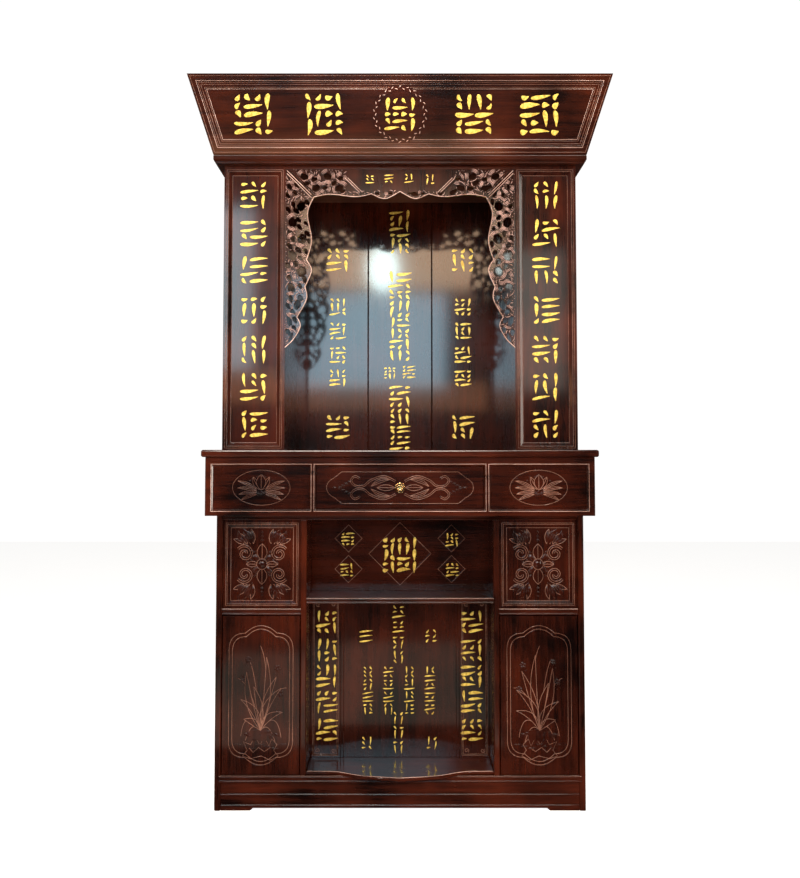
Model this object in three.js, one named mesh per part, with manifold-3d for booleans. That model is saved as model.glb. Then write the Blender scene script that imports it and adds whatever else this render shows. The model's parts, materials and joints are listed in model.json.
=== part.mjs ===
// Household altar cabinet: a cupboard base with a drawer tier, a niche over the table top, a flared cornice.
// Millimetres. X runs left to right seen from the front, Y from front to back, Z up, the origin on the floor.

import * as THREE from 'three';
import { mergeVertices } from 'three/addons/utils/BufferGeometryUtils.js';
import Module from 'manifold-3d';

const wasm = await Module();
wasm.setup();

// Table top and the widths that hang on it
const tableWidth = 1270;
const tableDepth = 560;
const tableThickness = 23;
const tableEdgeRound = 5;
const bodyWidth = 1190;
const tierOverhang = 29;

// Heights, from the floor up
const footHeight = 8;
const baseBoardHeight = 82;
const plinthRailHeight = 20;
const doorOpeningHeight = 510;
const midRailHeight = 20;
const carvedOpeningHeight = 286;
const baseTopThickness = 16;
const tierHeight = 188;
const nicheCabinetHeight = 964;
const corniceBandHeight = 28;
const corniceFlareHeight = 245;

// How far each front stands behind the front edge of the table top
const tierSetback = 15;
const baseSetback = 60;
const nicheSetback = 135;

// Boards
const sideThickness = 20;
const partitionThickness = 19;
const backThickness = 12;
const bottomThickness = 18;
const panelThickness = 16;
const edgeChamfer = 2.5;
const carveSink = 1;
const fitGap = 0.3;

// Base cupboard
const centreBayWidth = 604;
const plinthRailDepth = 34;
const plinthRailProud = 4;
const plinthRailReturn = 5;
const baseBoardThickness = 20;
const baseBoardSetback = 3;
const baseBoardGroove = 2.5;
const baseBoardGrooveHeights = [19, 53];
const footLength = 96;
const railDepth = 25;
const beadHeight = 4;
const beadQuirk = 2.5;
const recessDepth = 164;
const recessHeight = 252;
const recessShelfThickness = 18;
const recessDiamondHalf = 106;
const smallDiamondHalf = 46;
const smallDiamondAcross = 176;
const smallDiamondUp = 52;
const lowerNicheDepth = 140;
const nicheCentreStepBack = 8;
const nicheSideBoardWidth = 102;
const nicheEdgeStripWidth = 10;
const nicheEdgeStripProud = 5;
const nicheShelfThickness = 11;
const nicheShelfSetback = 10;
const nicheShelfBulge = 62;
const nicheShelfStraight = 67;
const nicheShelfRound = 3;
const nicheBoardMargin = 9;

// Doors and carved panels
const doorThickness = 18;
const doorReveal = 3;
const doorSetback = 3;
const carvedPanelSetback = 8;
const carvedBandWidth = 15;
const carvedBevel = 11;
const carvedFieldDepth = 3;
const reliefHeight = 2.5;
const ribbonWidth = 8;
const ribbonTipWidth = 4;
const orchidLeafWidth = 20;
const cartoucheMargin = 18;
const cartoucheTopMargin = 28;
const cartoucheCorner = 54;
const cartoucheLobeWidth = 104;
const cartoucheLobeRise = 24;
const cartoucheBand = 14;
const grooveWidth = 2.5;
const grooveDepth = 1.6;

// Drawer tier
const tierFrameThickness = 22;
const tierTopRail = 23;
const tierBottomRail = 15;
const tierOuterStile = 19;
const tierStileFace = 10;
const tierMiddleOpening = 550;
const tierBevel = 6;
const tierPanelSetback = 8;
const tierSideThickness = 18;
const ovalHalfWidth = 92;
const ovalHalfHeight = 56;

// Drawer
const drawerClearance = 1.5;
const drawerSideGap = 3;
const drawerBottomGap = 1;
const drawerFrontThickness = 18;
const drawerWall = 12;
const drawerBottomThickness = 8;
const drawerSideHeight = 118;
const drawerLength = 390;
const drawerCartoucheWidth = 476;
const drawerCartoucheHeight = 106;
const drawerCartoucheTip = 48;
const knobRadius = 12;
const knobStemRadius = 5;
const knobLength = 20;
const knobDish = 3;
const knobRound = 3;
const knobFlange = 2;

// Niche cabinet
const pilasterWidth = 208;
const pilasterThickness = 22;
const pilasterInnerStile = 16;
const pilasterOuterStile = 16;
const pilasterTopRail = 21;
const pilasterBottomRail = 14;
const pilasterBevel = 11;
const pilasterFieldDepth = 8;
const nicheCeilingThickness = 12;
const nicheWallThickness = 12;
const nicheWallReveal = 5;
const nicheBackThickness = 18;
const nicheCentrePanelWidth = 242;

// Openwork fringe round the niche mouth
const fringeThickness = 12;
const fringeSetback = 4;
const fringeRimWidth = 5;
const fringeRimProud = 3;
const fringeCorner = 95;
const fringeDrop = 607;
const fringeRodWidth = 11;
const fringeWindowPitch = 56;
const middlePlateHalf = 182;
const middlePlateHeight = 76;
const middlePlateShoulder = 30;
const middlePlateSlant = 50;
const middlePlateGap = 6;

// Cornice
const corniceBandOverhang = 32;
const corniceTopOverhang = 106;
const corniceBoard = 16;
const corniceBandStep = 6;
const corniceBorder = 24;
const corniceField = 44;
const corniceFieldDepth = 2.5;
const corniceLineDepth = 1.5;
const corniceTopThickness = 9;
const corniceTopSink = 12;
const wreathRadius = 90;
const wreathWidth = 13;
const wreathHeight = 3;
const wreathNotch = 0.04;

// Steps of curves
const curveSteps = 4;
const leafSteps = 3;
const spiralSteps = 9;
const ringSteps = 24;
const windowSteps = 6;

// Heights and planes that follow from the sizes above
const plinthRailZ = footHeight + baseBoardHeight;
const floorZ = plinthRailZ + plinthRailHeight;
const midRailZ = floorZ + doorOpeningHeight;
const carvedZ = midRailZ + midRailHeight;
const baseTopZ = carvedZ + carvedOpeningHeight;
const tierZ = baseTopZ + baseTopThickness;
const tableZ = tierZ + tierHeight;
const nicheZ = tableZ + tableThickness;
const corniceZ = nicheZ + nicheCabinetHeight;
const flareZ = corniceZ + corniceBandHeight;
const topZ = flareZ + corniceFlareHeight;
const headZ = corniceZ - nicheCeilingThickness;
const backY = tableDepth / 2;
const insideBackY = backY - backThickness;
const tierFrontY = tierSetback - tableDepth / 2;
const baseFrontY = baseSetback - tableDepth / 2;
const nicheFrontY = nicheSetback - tableDepth / 2;
const bodyHalf = bodyWidth / 2;
const bayOuterX = bodyHalf - sideThickness;
const centreHalf = centreBayWidth / 2;
const bayInnerX = centreHalf + partitionThickness;
const bayCentreX = (bayInnerX + bayOuterX) / 2;
const tierHalf = bodyHalf + tierOverhang;
const recessBackY = baseFrontY + recessDepth;
const nicheBoardY = baseFrontY + lowerNicheDepth;
const nicheMouthHalf = bodyHalf - pilasterWidth;

const lacquer = { roughness: 0.22, metalness: 0 };
const materials = {
  frameWood: new THREE.MeshStandardMaterial({ color: 0x4a1a10, ...lacquer }),
  panelWood: new THREE.MeshStandardMaterial({ color: 0x38120c, ...lacquer }),
  carvedWood: new THREE.MeshStandardMaterial({ color: 0x5a2a20, roughness: 0.35, metalness: 0 }),
  hiddenWood: new THREE.MeshStandardMaterial({ color: 0x5e3a28, roughness: 0.6, metalness: 0 }),
  brass: new THREE.MeshStandardMaterial({ color: 0xc79a4a, roughness: 0.3, metalness: 1 }),
};

const cabinet = new THREE.Group();

function add(name, geometry, material) {
  const mesh = new THREE.Mesh(geometry, material);
  mesh.name = name;
  cabinet.add(mesh);
}

// The mirror image across the middle plane, with its triangles turned back to face outwards.
function mirrored(geometry) {
  const flipped = geometry.index ? geometry.toNonIndexed() : geometry.clone();
  const position = flipped.getAttribute('position');
  for (let i = 0; i < position.count; i += 3) {
    const a = new THREE.Vector3().fromBufferAttribute(position, i);
    const b = new THREE.Vector3().fromBufferAttribute(position, i + 1);
    const c = new THREE.Vector3().fromBufferAttribute(position, i + 2);
    position.setXYZ(i, -a.x, a.y, a.z);
    position.setXYZ(i + 1, -c.x, c.y, c.z);
    position.setXYZ(i + 2, -b.x, b.y, b.z);
  }
  flipped.computeVertexNormals();
  return flipped;
}

// Adds a right-hand piece and its mirror image on the left.
function addPair(name, geometry, material) {
  add(`${name}_right`, geometry, material);
  add(`${name}_left`, mirrored(geometry), material);
}

function block(x0, x1, y0, y1, z0, z1) {
  const geometry = new THREE.BoxGeometry(x1 - x0, y1 - y0, z1 - z0);
  geometry.translate((x0 + x1) / 2, (y0 + y1) / 2, (z0 + z1) / 2);
  return geometry;
}

function toSolid(geometry) {
  const bare = geometry.clone();
  bare.deleteAttribute('normal');
  bare.deleteAttribute('uv');
  const merged = mergeVertices(bare);
  const vertProperties = new Float32Array(merged.getAttribute('position').array);
  const triVerts = new Uint32Array(merged.index.array);
  return new wasm.Manifold(new wasm.Mesh({ numProp: 3, vertProperties, triVerts }));
}

function toGeometry(solid) {
  const { vertProperties, triVerts } = solid.getMesh();
  const geometry = new THREE.BufferGeometry();
  geometry.setAttribute('position', new THREE.BufferAttribute(vertProperties, 3));
  geometry.setIndex(new THREE.BufferAttribute(triVerts, 1));
  geometry.computeVertexNormals();
  return geometry;
}

// One geometry with others cut away from it and others joined on.
function carve(base, cuts, joins = []) {
  let solid = toSolid(base);
  for (const tool of cuts) solid = solid.subtract(toSolid(tool));
  for (const piece of joins) solid = solid.add(toSolid(piece));
  return toGeometry(solid);
}

// A closed solid through rings of equally many corners.
function loft(rings) {
  const count = rings[0].length;
  const corners = rings.flat();
  const triangles = [];
  for (let i = 1; i < count - 1; i += 1) {
    const last = (rings.length - 1) * count;
    triangles.push([0, i + 1, i], [last, last + i, last + i + 1]);
  }
  for (let r = 0; r < rings.length - 1; r += 1) {
    for (let i = 0; i < count; i += 1) {
      const a = r * count + i;
      const b = r * count + ((i + 1) % count);
      triangles.push([a, b, b + count], [a, b + count, a + count]);
    }
  }
  let volume = 0;
  for (const [a, b, c] of triangles) {
    volume += new THREE.Vector3(...corners[a]).dot(
      new THREE.Vector3(...corners[b]).cross(new THREE.Vector3(...corners[c])));
  }
  const order = volume < 0 ? triangles.map(([a, b, c]) => [a, c, b]) : triangles;
  const geometry = new THREE.BufferGeometry();
  geometry.setAttribute('position', new THREE.Float32BufferAttribute(corners.flat(), 3));
  geometry.setIndex(order.flat());
  geometry.computeVertexNormals();
  return geometry;
}

// A rectangle facing the front, at depth y.
function frontRing(x0, x1, z0, z1, y) {
  return [[x0, y, z0], [x1, y, z0], [x1, y, z1], [x0, y, z1]];
}

// The tool for a recess with sloping sides: wide at the face, narrower by bevel at its full depth.
function bevelledRecess(x0, x1, z0, z1, faceY, bevel, slopeDepth, fullDepth) {
  const step = slopeDepth / 3;
  return loft([
    frontRing(x0, x1, z0, z1, faceY - step),
    frontRing(x0, x1, z0, z1, faceY + step),
    frontRing(x0 + bevel, x1 - bevel, z0 + bevel, z1 - bevel, faceY + slopeDepth),
    frontRing(x0 + bevel, x1 - bevel, z0 + bevel, z1 - bevel, faceY + fullDepth),
  ]);
}

// A plate drawn in the front view, with its back at yBack and its face toward the front.
function plate(shape, yBack, thickness, steps = curveSteps) {
  const options = { depth: thickness, bevelEnabled: false, curveSegments: steps };
  const geometry = new THREE.ExtrudeGeometry(shape, options);
  geometry.rotateX(Math.PI / 2);
  geometry.translate(0, yBack, 0);
  return geometry;
}

// A section drawn as Y and Z, run along X.
function alongX(points, x0, x1) {
  const shape = new THREE.Shape(points.map(([y, z]) => new THREE.Vector2(y, z)));
  const geometry = new THREE.ExtrudeGeometry(shape, { depth: x1 - x0, bevelEnabled: false });
  const turn = new THREE.Matrix4().makeBasis(
    new THREE.Vector3(0, 1, 0), new THREE.Vector3(0, 0, 1), new THREE.Vector3(1, 0, 0));
  geometry.applyMatrix4(turn);
  geometry.translate(x0, 0, 0);
  return geometry;
}

// An upright board whose two front edges are chamfered.
function upright(x0, x1, y0, y1, z0, z1, chamfer = edgeChamfer) {
  const shape = new THREE.Shape([
    [x0, y1], [x0, y0 + chamfer], [x0 + chamfer, y0], [x1 - chamfer, y0], [x1, y0 + chamfer], [x1, y1],
  ].map(([x, y]) => new THREE.Vector2(x, y)));
  const geometry = new THREE.ExtrudeGeometry(shape, { depth: z1 - z0, bevelEnabled: false });
  geometry.translate(0, 0, z0);
  return geometry;
}

// A rail along X whose front shows a bead at its top and another at its bottom.
function beadedRail(x0, x1, y0, y1, z0, z1) {
  const half = beadHeight / 2;
  return alongX([
    [y1, z0], [y0 + half, z0], [y0, z0 + half], [y0, z0 + beadHeight],
    [y0 + beadQuirk, z0 + beadHeight + half], [y0 + beadQuirk, z1 - beadHeight - half],
    [y0, z1 - beadHeight], [y0, z1 - half], [y0 + half, z1], [y1, z1],
  ], x0, x1);
}

// Outlines, all drawn round their own centre.
function ringShape(outer, inner) {
  const shape = new THREE.Shape(outer);
  shape.holes.push(new THREE.Path(inner));
  return shape;
}

function ellipsePoints(halfWidth, halfHeight, steps, lean = 0, centre = [0, 0]) {
  const points = [];
  for (let i = 0; i < steps; i += 1) {
    const angle = (2 * Math.PI * i) / steps;
    const x = halfWidth * Math.cos(angle);
    const z = halfHeight * Math.sin(angle);
    points.push(new THREE.Vector2(
      centre[0] + x * Math.cos(lean) - z * Math.sin(lean),
      centre[1] + x * Math.sin(lean) + z * Math.cos(lean)));
  }
  return points;
}

// A flower seen from the front: petals round a middle.
function flowerShape(centre, radius, petals, notch = 0.3) {
  const points = [];
  const steps = petals * 2;
  for (let i = 0; i < steps; i += 1) {
    const angle = (2 * Math.PI * i) / steps;
    const reach = radius * (1 - notch * (i % 2));
    points.push(new THREE.Vector2(centre[0] + reach * Math.cos(angle), centre[1] + reach * Math.sin(angle)));
  }
  return new THREE.Shape(points);
}

// A pointed leaf from its base to its tip, bowed to one side.
function leafShape(base, tip, width, bow = 0) {
  const along = new THREE.Vector2(tip[0] - base[0], tip[1] - base[1]);
  const length = along.length();
  const across = new THREE.Vector2(-along.y, along.x).divideScalar(length);
  const middle = (share) => new THREE.Vector2(...base).addScaledVector(along, 0.5)
    .addScaledVector(across, bow * length + share * width);
  const shape = new THREE.Shape();
  shape.moveTo(...base);
  shape.quadraticCurveTo(middle(1).x, middle(1).y, ...tip);
  shape.quadraticCurveTo(middle(-1).x, middle(-1).y, ...base);
  return shape;
}

// A ribbon of changing width along a run of points.
function ribbonShape(points, startWidth, endWidth) {
  const left = [];
  const right = [];
  points.forEach((point, i) => {
    const before = points[Math.max(i - 1, 0)];
    const after = points[Math.min(i + 1, points.length - 1)];
    const side = new THREE.Vector2(before.y - after.y, after.x - before.x).normalize();
    const width = startWidth + ((endWidth - startWidth) * i) / (points.length - 1);
    left.push(point.clone().addScaledVector(side, width / 2));
    right.unshift(point.clone().addScaledVector(side, -width / 2));
  });
  return new THREE.Shape([...left, ...right]);
}

function spiralPoints(centre, startRadius, endRadius, startAngle, turns, steps) {
  const points = [];
  for (let i = 0; i <= steps; i += 1) {
    const share = i / steps;
    const radius = startRadius + (endRadius - startRadius) * share;
    const angle = startAngle + 2 * Math.PI * turns * share;
    points.push(new THREE.Vector2(centre[0] + radius * Math.cos(angle), centre[1] + radius * Math.sin(angle)));
  }
  return points;
}

function splinePoints(knots, steps) {
  return new THREE.SplineCurve(knots.map(([x, z]) => new THREE.Vector2(x, z))).getPoints(steps);
}

// The lobed frame carved on the doors: an upright panel with round corners and a lobe above and below.
function cartouchePoints(halfWidth, halfHeight, inset) {
  const corner = cartoucheCorner - inset / 2;
  const lobeHalf = cartoucheLobeWidth / 2 - inset / 3;
  const lobe = cartoucheLobeRise;
  const width = halfWidth - inset;
  const height = halfHeight - inset;
  const shape = new THREE.Shape();
  const shoulder = height - lobe;
  shape.moveTo(width, -shoulder + corner);
  shape.lineTo(width, shoulder - corner);
  shape.quadraticCurveTo(width, shoulder, lobeHalf, shoulder);
  shape.quadraticCurveTo(lobeHalf / 2, height, 0, height);
  shape.quadraticCurveTo(-lobeHalf / 2, height, -lobeHalf, shoulder);
  shape.quadraticCurveTo(-width, shoulder, -width, shoulder - corner);
  shape.lineTo(-width, -shoulder + corner);
  shape.quadraticCurveTo(-width, -shoulder, -lobeHalf, -shoulder);
  shape.quadraticCurveTo(-lobeHalf / 2, -height, 0, -height);
  shape.quadraticCurveTo(lobeHalf / 2, -height, lobeHalf, -shoulder);
  shape.quadraticCurveTo(width, -shoulder, width, -shoulder + corner);
  return shape.extractPoints(curveSteps).shape.slice(0, -1);
}

// A groove that follows a closed outline, cut into a face.
function grooveTool(outlineAt, faceY) {
  const shape = ringShape(outlineAt(0), outlineAt(grooveWidth));
  return plate(shape, faceY + grooveDepth, grooveDepth + carveSink);
}

// Relief standing off a face, rooted a little way into it.
function relief(shape, faceY, height = reliefHeight) {
  return plate(shape, faceY + carveSink, height + carveSink, leafSteps);
}

function moved(geometry, x, z) {
  geometry.translate(x, 0, z);
  return geometry;
}

// Base: sides, partitions, back, floor and top
function addBaseCarcass() {
  const insideFront = baseFrontY + plinthRailDepth;
  addPair('base_side', upright(bayOuterX, bodyHalf, baseFrontY, insideBackY, 0, tierZ), materials.frameWood);
  addPair('base_partition', upright(centreHalf, bayInnerX, baseFrontY, insideBackY, floorZ, baseTopZ),
    materials.frameWood);
  add('base_back', block(-bodyHalf, bodyHalf, insideBackY, backY, footHeight, tierZ), materials.hiddenWood);
  add('base_floor', block(-bayOuterX, bayOuterX, insideFront, insideBackY, floorZ - bottomThickness, floorZ),
    materials.hiddenWood);
  add('base_top', beadedRail(-bayOuterX, bayOuterX, baseFrontY, insideBackY, baseTopZ, tierZ),
    materials.frameWood);
  for (const [name, x0, x1] of [['left', -bayOuterX, -bayInnerX], ['right', bayInnerX, bayOuterX]]) {
    add(`mid_rail_${name}`, beadedRail(x0, x1, baseFrontY, baseFrontY + railDepth, midRailZ, carvedZ),
      materials.frameWood);
  }
}

// Plinth: a beaded rail that returns over the sides, and a base board with feet at its ends
function addPlinth() {
  const proudY = baseFrontY - plinthRailProud;
  const rail = block(-bayOuterX, bayOuterX, baseFrontY - carveSink, baseFrontY + plinthRailDepth, plinthRailZ,
    floorZ);
  const nose = beadedRail(-bayOuterX - plinthRailReturn, bayOuterX + plinthRailReturn, proudY, baseFrontY,
    plinthRailZ, floorZ);
  add('plinth_rail', carve(rail, [], [nose]), materials.frameWood);

  const faceY = baseFrontY + baseBoardSetback;
  const section = [[faceY + baseBoardThickness, 0], [faceY, 0]];
  for (const z of baseBoardGrooveHeights) {
    section.push([faceY, z - baseBoardGroove], [faceY + baseBoardGroove, z], [faceY, z + baseBoardGroove]);
  }
  section.push([faceY, plinthRailZ], [faceY + baseBoardThickness, plinthRailZ]);
  const board = alongX(section, -bayOuterX, bayOuterX);
  const gapHalf = bayOuterX - footLength;
  const gap = new THREE.Shape([
    [-gapHalf - carveSink, -carveSink], [gapHalf + carveSink, -carveSink],
    [gapHalf - footHeight, footHeight], [footHeight - gapHalf, footHeight],
  ].map(([x, z]) => new THREE.Vector2(x, z)));
  const notch = plate(gap, faceY + 2 * baseBoardThickness, 3 * baseBoardThickness);
  add('base_board', carve(board, [notch]), materials.frameWood);
}

// Four spirals, four petals and leafy corners round the middle of a field of half width w, half height h
function scrollFlower(w, h, faceY) {
  const pieces = [];
  for (const sx of [-1, 1]) {
    for (const sz of [-1, 1]) {
      const start = Math.PI / 2 - sx * (Math.PI / 2) + sx * sz * 0.6;
      const spiral = spiralPoints([sx * 0.55 * w, sz * 0.29 * h], 0.27 * w, 0.05 * w, start, sx * sz * 1.4,
        spiralSteps);
      pieces.push(relief(ribbonShape(spiral, ribbonWidth, ribbonTipWidth), faceY));
      const plume = leafShape([sx * 0.3 * w, sz * 0.5 * h], [sx * 0.61 * w, sz * 0.97 * h], 0.2 * w,
        sx * sz * 0.1);
      const frond = leafShape([sx * 0.61 * w, sz * 0.56 * h], [sx * 0.77 * w, sz * 0.92 * h], 0.14 * w,
        -sx * sz * 0.15);
      pieces.push(relief(plume, faceY), relief(frond, faceY));
    }
    pieces.push(relief(leafShape([sx * 0.12 * w, 0], [sx * 0.51 * w, 0], 0.18 * w), faceY));
    pieces.push(relief(leafShape([0, sx * 0.1 * h], [0, sx * 0.56 * h], 0.32 * w), faceY));
  }
  pieces.push(relief(new THREE.Shape(ellipsePoints(0.16 * w, 0.16 * w, 10)), faceY, 2 * reliefHeight));
  return pieces;
}

function addCarvedPanels() {
  const faceY = baseFrontY + carvedPanelSetback;
  const centreZ = carvedZ + carvedOpeningHeight / 2;
  const board = block(bayInnerX, bayOuterX, faceY, faceY + panelThickness, carvedZ, baseTopZ);
  const field = bevelledRecess(bayInnerX + carvedBandWidth, bayOuterX - carvedBandWidth,
    carvedZ + carvedBandWidth, baseTopZ - carvedBandWidth, faceY, carvedBevel, carvedFieldDepth,
    carvedFieldDepth);
  const border = carvedBandWidth + carvedBevel;
  const carving = scrollFlower((bayOuterX - bayInnerX) / 2 - border, carvedOpeningHeight / 2 - border,
    faceY + carvedFieldDepth).map((piece) => moved(piece, bayCentreX, centreZ));
  addPair('carved_panel', carve(board, [field], carving), materials.panelWood);
}

// Orchid leaves from one root, each as rise and reach in shares of the outline's half sizes, and its bow
const plants = {
  right: [[1.07, -0.11, 0.1], [0.88, 0.4, -0.12], [0.57, -0.68, -0.25], [0.84, -0.53, -0.08],
    [0.41, 0.58, 0.3], [0.28, -0.7, -0.35], [0.15, 0.49, 0.3], [0.67, 0.28, 0.1]],
  left: [[1.04, 0.17, -0.1], [0.83, -0.43, 0.14], [0.6, 0.62, 0.22], [0.76, 0.47, 0.1], [0.44, -0.6, -0.28],
    [0.26, 0.66, 0.35], [0.16, -0.51, -0.3], [0.62, -0.21, -0.12]],
};

function orchid(w, h, faceY, leaves) {
  return leaves.map(([rise, reach, bow]) => relief(
    leafShape([0, 0], [reach * w, rise * h], orchidLeafWidth, bow), faceY));
}

// Doors, each with a carved double outline and a plant on a rock
function addDoors() {
  const faceY = baseFrontY + doorSetback;
  const doorHalf = (bayOuterX - bayInnerX) / 2 - doorReveal;
  const z0 = floorZ + doorReveal;
  const z1 = midRailZ - doorReveal;
  const centreZ = (z0 + z1) / 2;
  const halfWidth = doorHalf - cartoucheMargin;
  const halfHeight = (z1 - z0) / 2 - cartoucheTopMargin;
  const rootZ = centreZ - halfHeight / 2;
  for (const [side, sign] of [['left', -1], ['right', 1]]) {
    const centreX = sign * bayCentreX;
    const board = block(centreX - doorHalf, centreX + doorHalf, faceY, faceY + doorThickness, z0, z1);
    const grooves = [0, cartoucheBand].map((inset) => moved(
      grooveTool((extra) => cartouchePoints(halfWidth, halfHeight, inset + extra), faceY), centreX, centreZ));
    const plant = orchid(halfWidth, halfHeight, faceY, plants[side])
      .map((piece) => moved(piece, centreX, rootZ));
    const rock = relief(flowerShape([0, 0], 0.42 * halfWidth, 5, 0.2), faceY);
    rock.scale(1, 1, 0.5);
    moved(rock, centreX, rootZ - 0.13 * halfWidth);
    add(`door_${side}`, carve(board, grooves, [...plant, rock]), materials.panelWood);
  }
}

// Middle bay: the upper recess, its shelf, and the lower niche with its serpentine shelf
function addCentreBay() {
  const shelfZ = baseTopZ - recessHeight;
  const shelfUnder = shelfZ - recessShelfThickness;
  add('recess_shelf', beadedRail(-centreHalf, centreHalf, baseFrontY, recessBackY + panelThickness, shelfUnder,
    shelfZ), materials.frameWood);

  const recessCentreZ = (shelfZ + baseTopZ) / 2;
  const diamondTool = (half, x, z) => moved(
    grooveTool((extra) => ellipsePoints(half - extra, half - extra, 4), recessBackY), x, z);
  const diamonds = [diamondTool(recessDiamondHalf, 0, recessCentreZ)];
  for (const x of [-smallDiamondAcross, smallDiamondAcross]) {
    for (const z of [-smallDiamondUp, smallDiamondUp]) {
      diamonds.push(diamondTool(smallDiamondHalf, x, recessCentreZ + z));
    }
  }
  const back = block(-centreHalf, centreHalf, recessBackY, recessBackY + panelThickness, shelfZ, baseTopZ);
  add('recess_back', carve(back, diamonds), materials.panelWood);

  const nicheShelfZ = floorZ + nicheShelfThickness;
  const innerX = centreHalf - nicheSideBoardWidth;
  const side = block(innerX, centreHalf, nicheBoardY, nicheBoardY + panelThickness, nicheShelfZ, shelfUnder);
  const frameWidth = nicheSideBoardWidth / 2 - nicheBoardMargin;
  const frameHeight = (shelfUnder - nicheShelfZ) / 2 - nicheBoardMargin;
  const frame = (extra) => [[1, 1], [-1, 1], [-1, -1], [1, -1]].map(
    ([x, z]) => new THREE.Vector2(x * (frameWidth - extra), z * (frameHeight - extra)));
  const frameTool = moved(grooveTool(frame, nicheBoardY), (innerX + centreHalf) / 2,
    (nicheShelfZ + shelfUnder) / 2);
  addPair('lower_niche_board', carve(side, [frameTool]), materials.panelWood);

  const centreY = nicheBoardY + nicheCentreStepBack;
  const centreBack = centreY + panelThickness;
  const stripY = centreY - nicheEdgeStripProud;
  const innerEdge = innerX - nicheEdgeStripWidth;
  const plan = new THREE.Shape([
    [-innerX, centreBack], [-innerX, stripY], [-innerEdge, stripY], [-innerEdge, centreY],
    [innerEdge, centreY], [innerEdge, stripY], [innerX, stripY], [innerX, centreBack],
  ].map(([x, y]) => new THREE.Vector2(x, y)));
  const centre = new THREE.ExtrudeGeometry(plan, { depth: shelfUnder - nicheShelfZ, bevelEnabled: false });
  centre.translate(0, 0, nicheShelfZ);
  add('lower_niche_centre', centre, materials.panelWood);

  const straightY = baseFrontY + nicheShelfSetback;
  const bulgeY = straightY - nicheShelfBulge;
  const bulgeHalf = centreHalf - nicheShelfStraight;
  const half = splinePoints([[-bulgeHalf, straightY], [-bulgeHalf * 0.82, straightY - nicheShelfBulge * 0.14],
    [-bulgeHalf * 0.5, straightY - nicheShelfBulge * 0.68], [0, bulgeY]], 12);
  const other = half.slice(0, -1).reverse().map((point) => new THREE.Vector2(-point.x, point.y));
  const start = [[-centreHalf, centreBack], [-centreHalf, straightY]].map(([x, y]) => new THREE.Vector2(x, y));
  const end = [[centreHalf, straightY], [centreHalf, centreBack]].map(([x, y]) => new THREE.Vector2(x, y));
  const shelf = new THREE.ExtrudeGeometry(new THREE.Shape([...start, ...half, ...other, ...end]), {
    depth: nicheShelfThickness - 2 * nicheShelfRound, bevelEnabled: true, bevelThickness: nicheShelfRound,
    bevelSize: nicheShelfRound, bevelOffset: -nicheShelfRound, bevelSegments: 1 });
  shelf.translate(0, 0, floorZ + nicheShelfRound);
  add('lower_niche_shelf', shelf, materials.frameWood);
}

// Drawer tier: a front frame with three bevelled openings, fixed oval fronts at the sides, and its carcass
const tierOpeningZ0 = tierZ + tierBottomRail;
const tierOpeningZ1 = tableZ - tierTopRail;
const tierMiddleHalf = tierMiddleOpening / 2;
const tierSideX0 = tierMiddleHalf + tierStileFace;
const tierSideX1 = tierHalf - tierOuterStile;
const tierInsideZ0 = tierOpeningZ0 + tierBevel;
const tierInsideZ1 = tierOpeningZ1 - tierBevel;
const tierFaceY = tierFrontY + tierPanelSetback;
const tierFrameBackY = tierFrontY + tierFrameThickness;

// A lotus between fans of leaves, for an oval of half width w and half height h
function lotus(w, h, faceY) {
  const pieces = [];
  for (const sign of [-1, 1]) {
    for (let i = 0; i < 4; i += 1) {
      const lean = 0.42 - i * 0.3;
      const length = (0.63 - 0.04 * i) * w;
      const low = 0.09 * h * i;
      const tip = [sign * (0.24 * w + length * Math.cos(lean)), length * Math.sin(lean) - 0.04 * h - low];
      pieces.push(relief(leafShape([sign * 0.15 * w, -0.11 * h - low], tip, 0.1 * w, sign * 0.12), faceY));
    }
    const petal = leafShape([sign * 0.04 * w, -0.11 * h], [sign * 0.28 * w, 0.61 * h], 0.18 * w,
      -sign * 0.1);
    pieces.push(relief(petal, faceY));
  }
  pieces.push(relief(leafShape([0, -0.14 * h], [0, 0.75 * h], 0.33 * w), faceY, 1.6 * reliefHeight));
  pieces.push(relief(leafShape([0, -0.68 * h], [0, -0.18 * h], 0.26 * w), faceY));
  return pieces;
}

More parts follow.
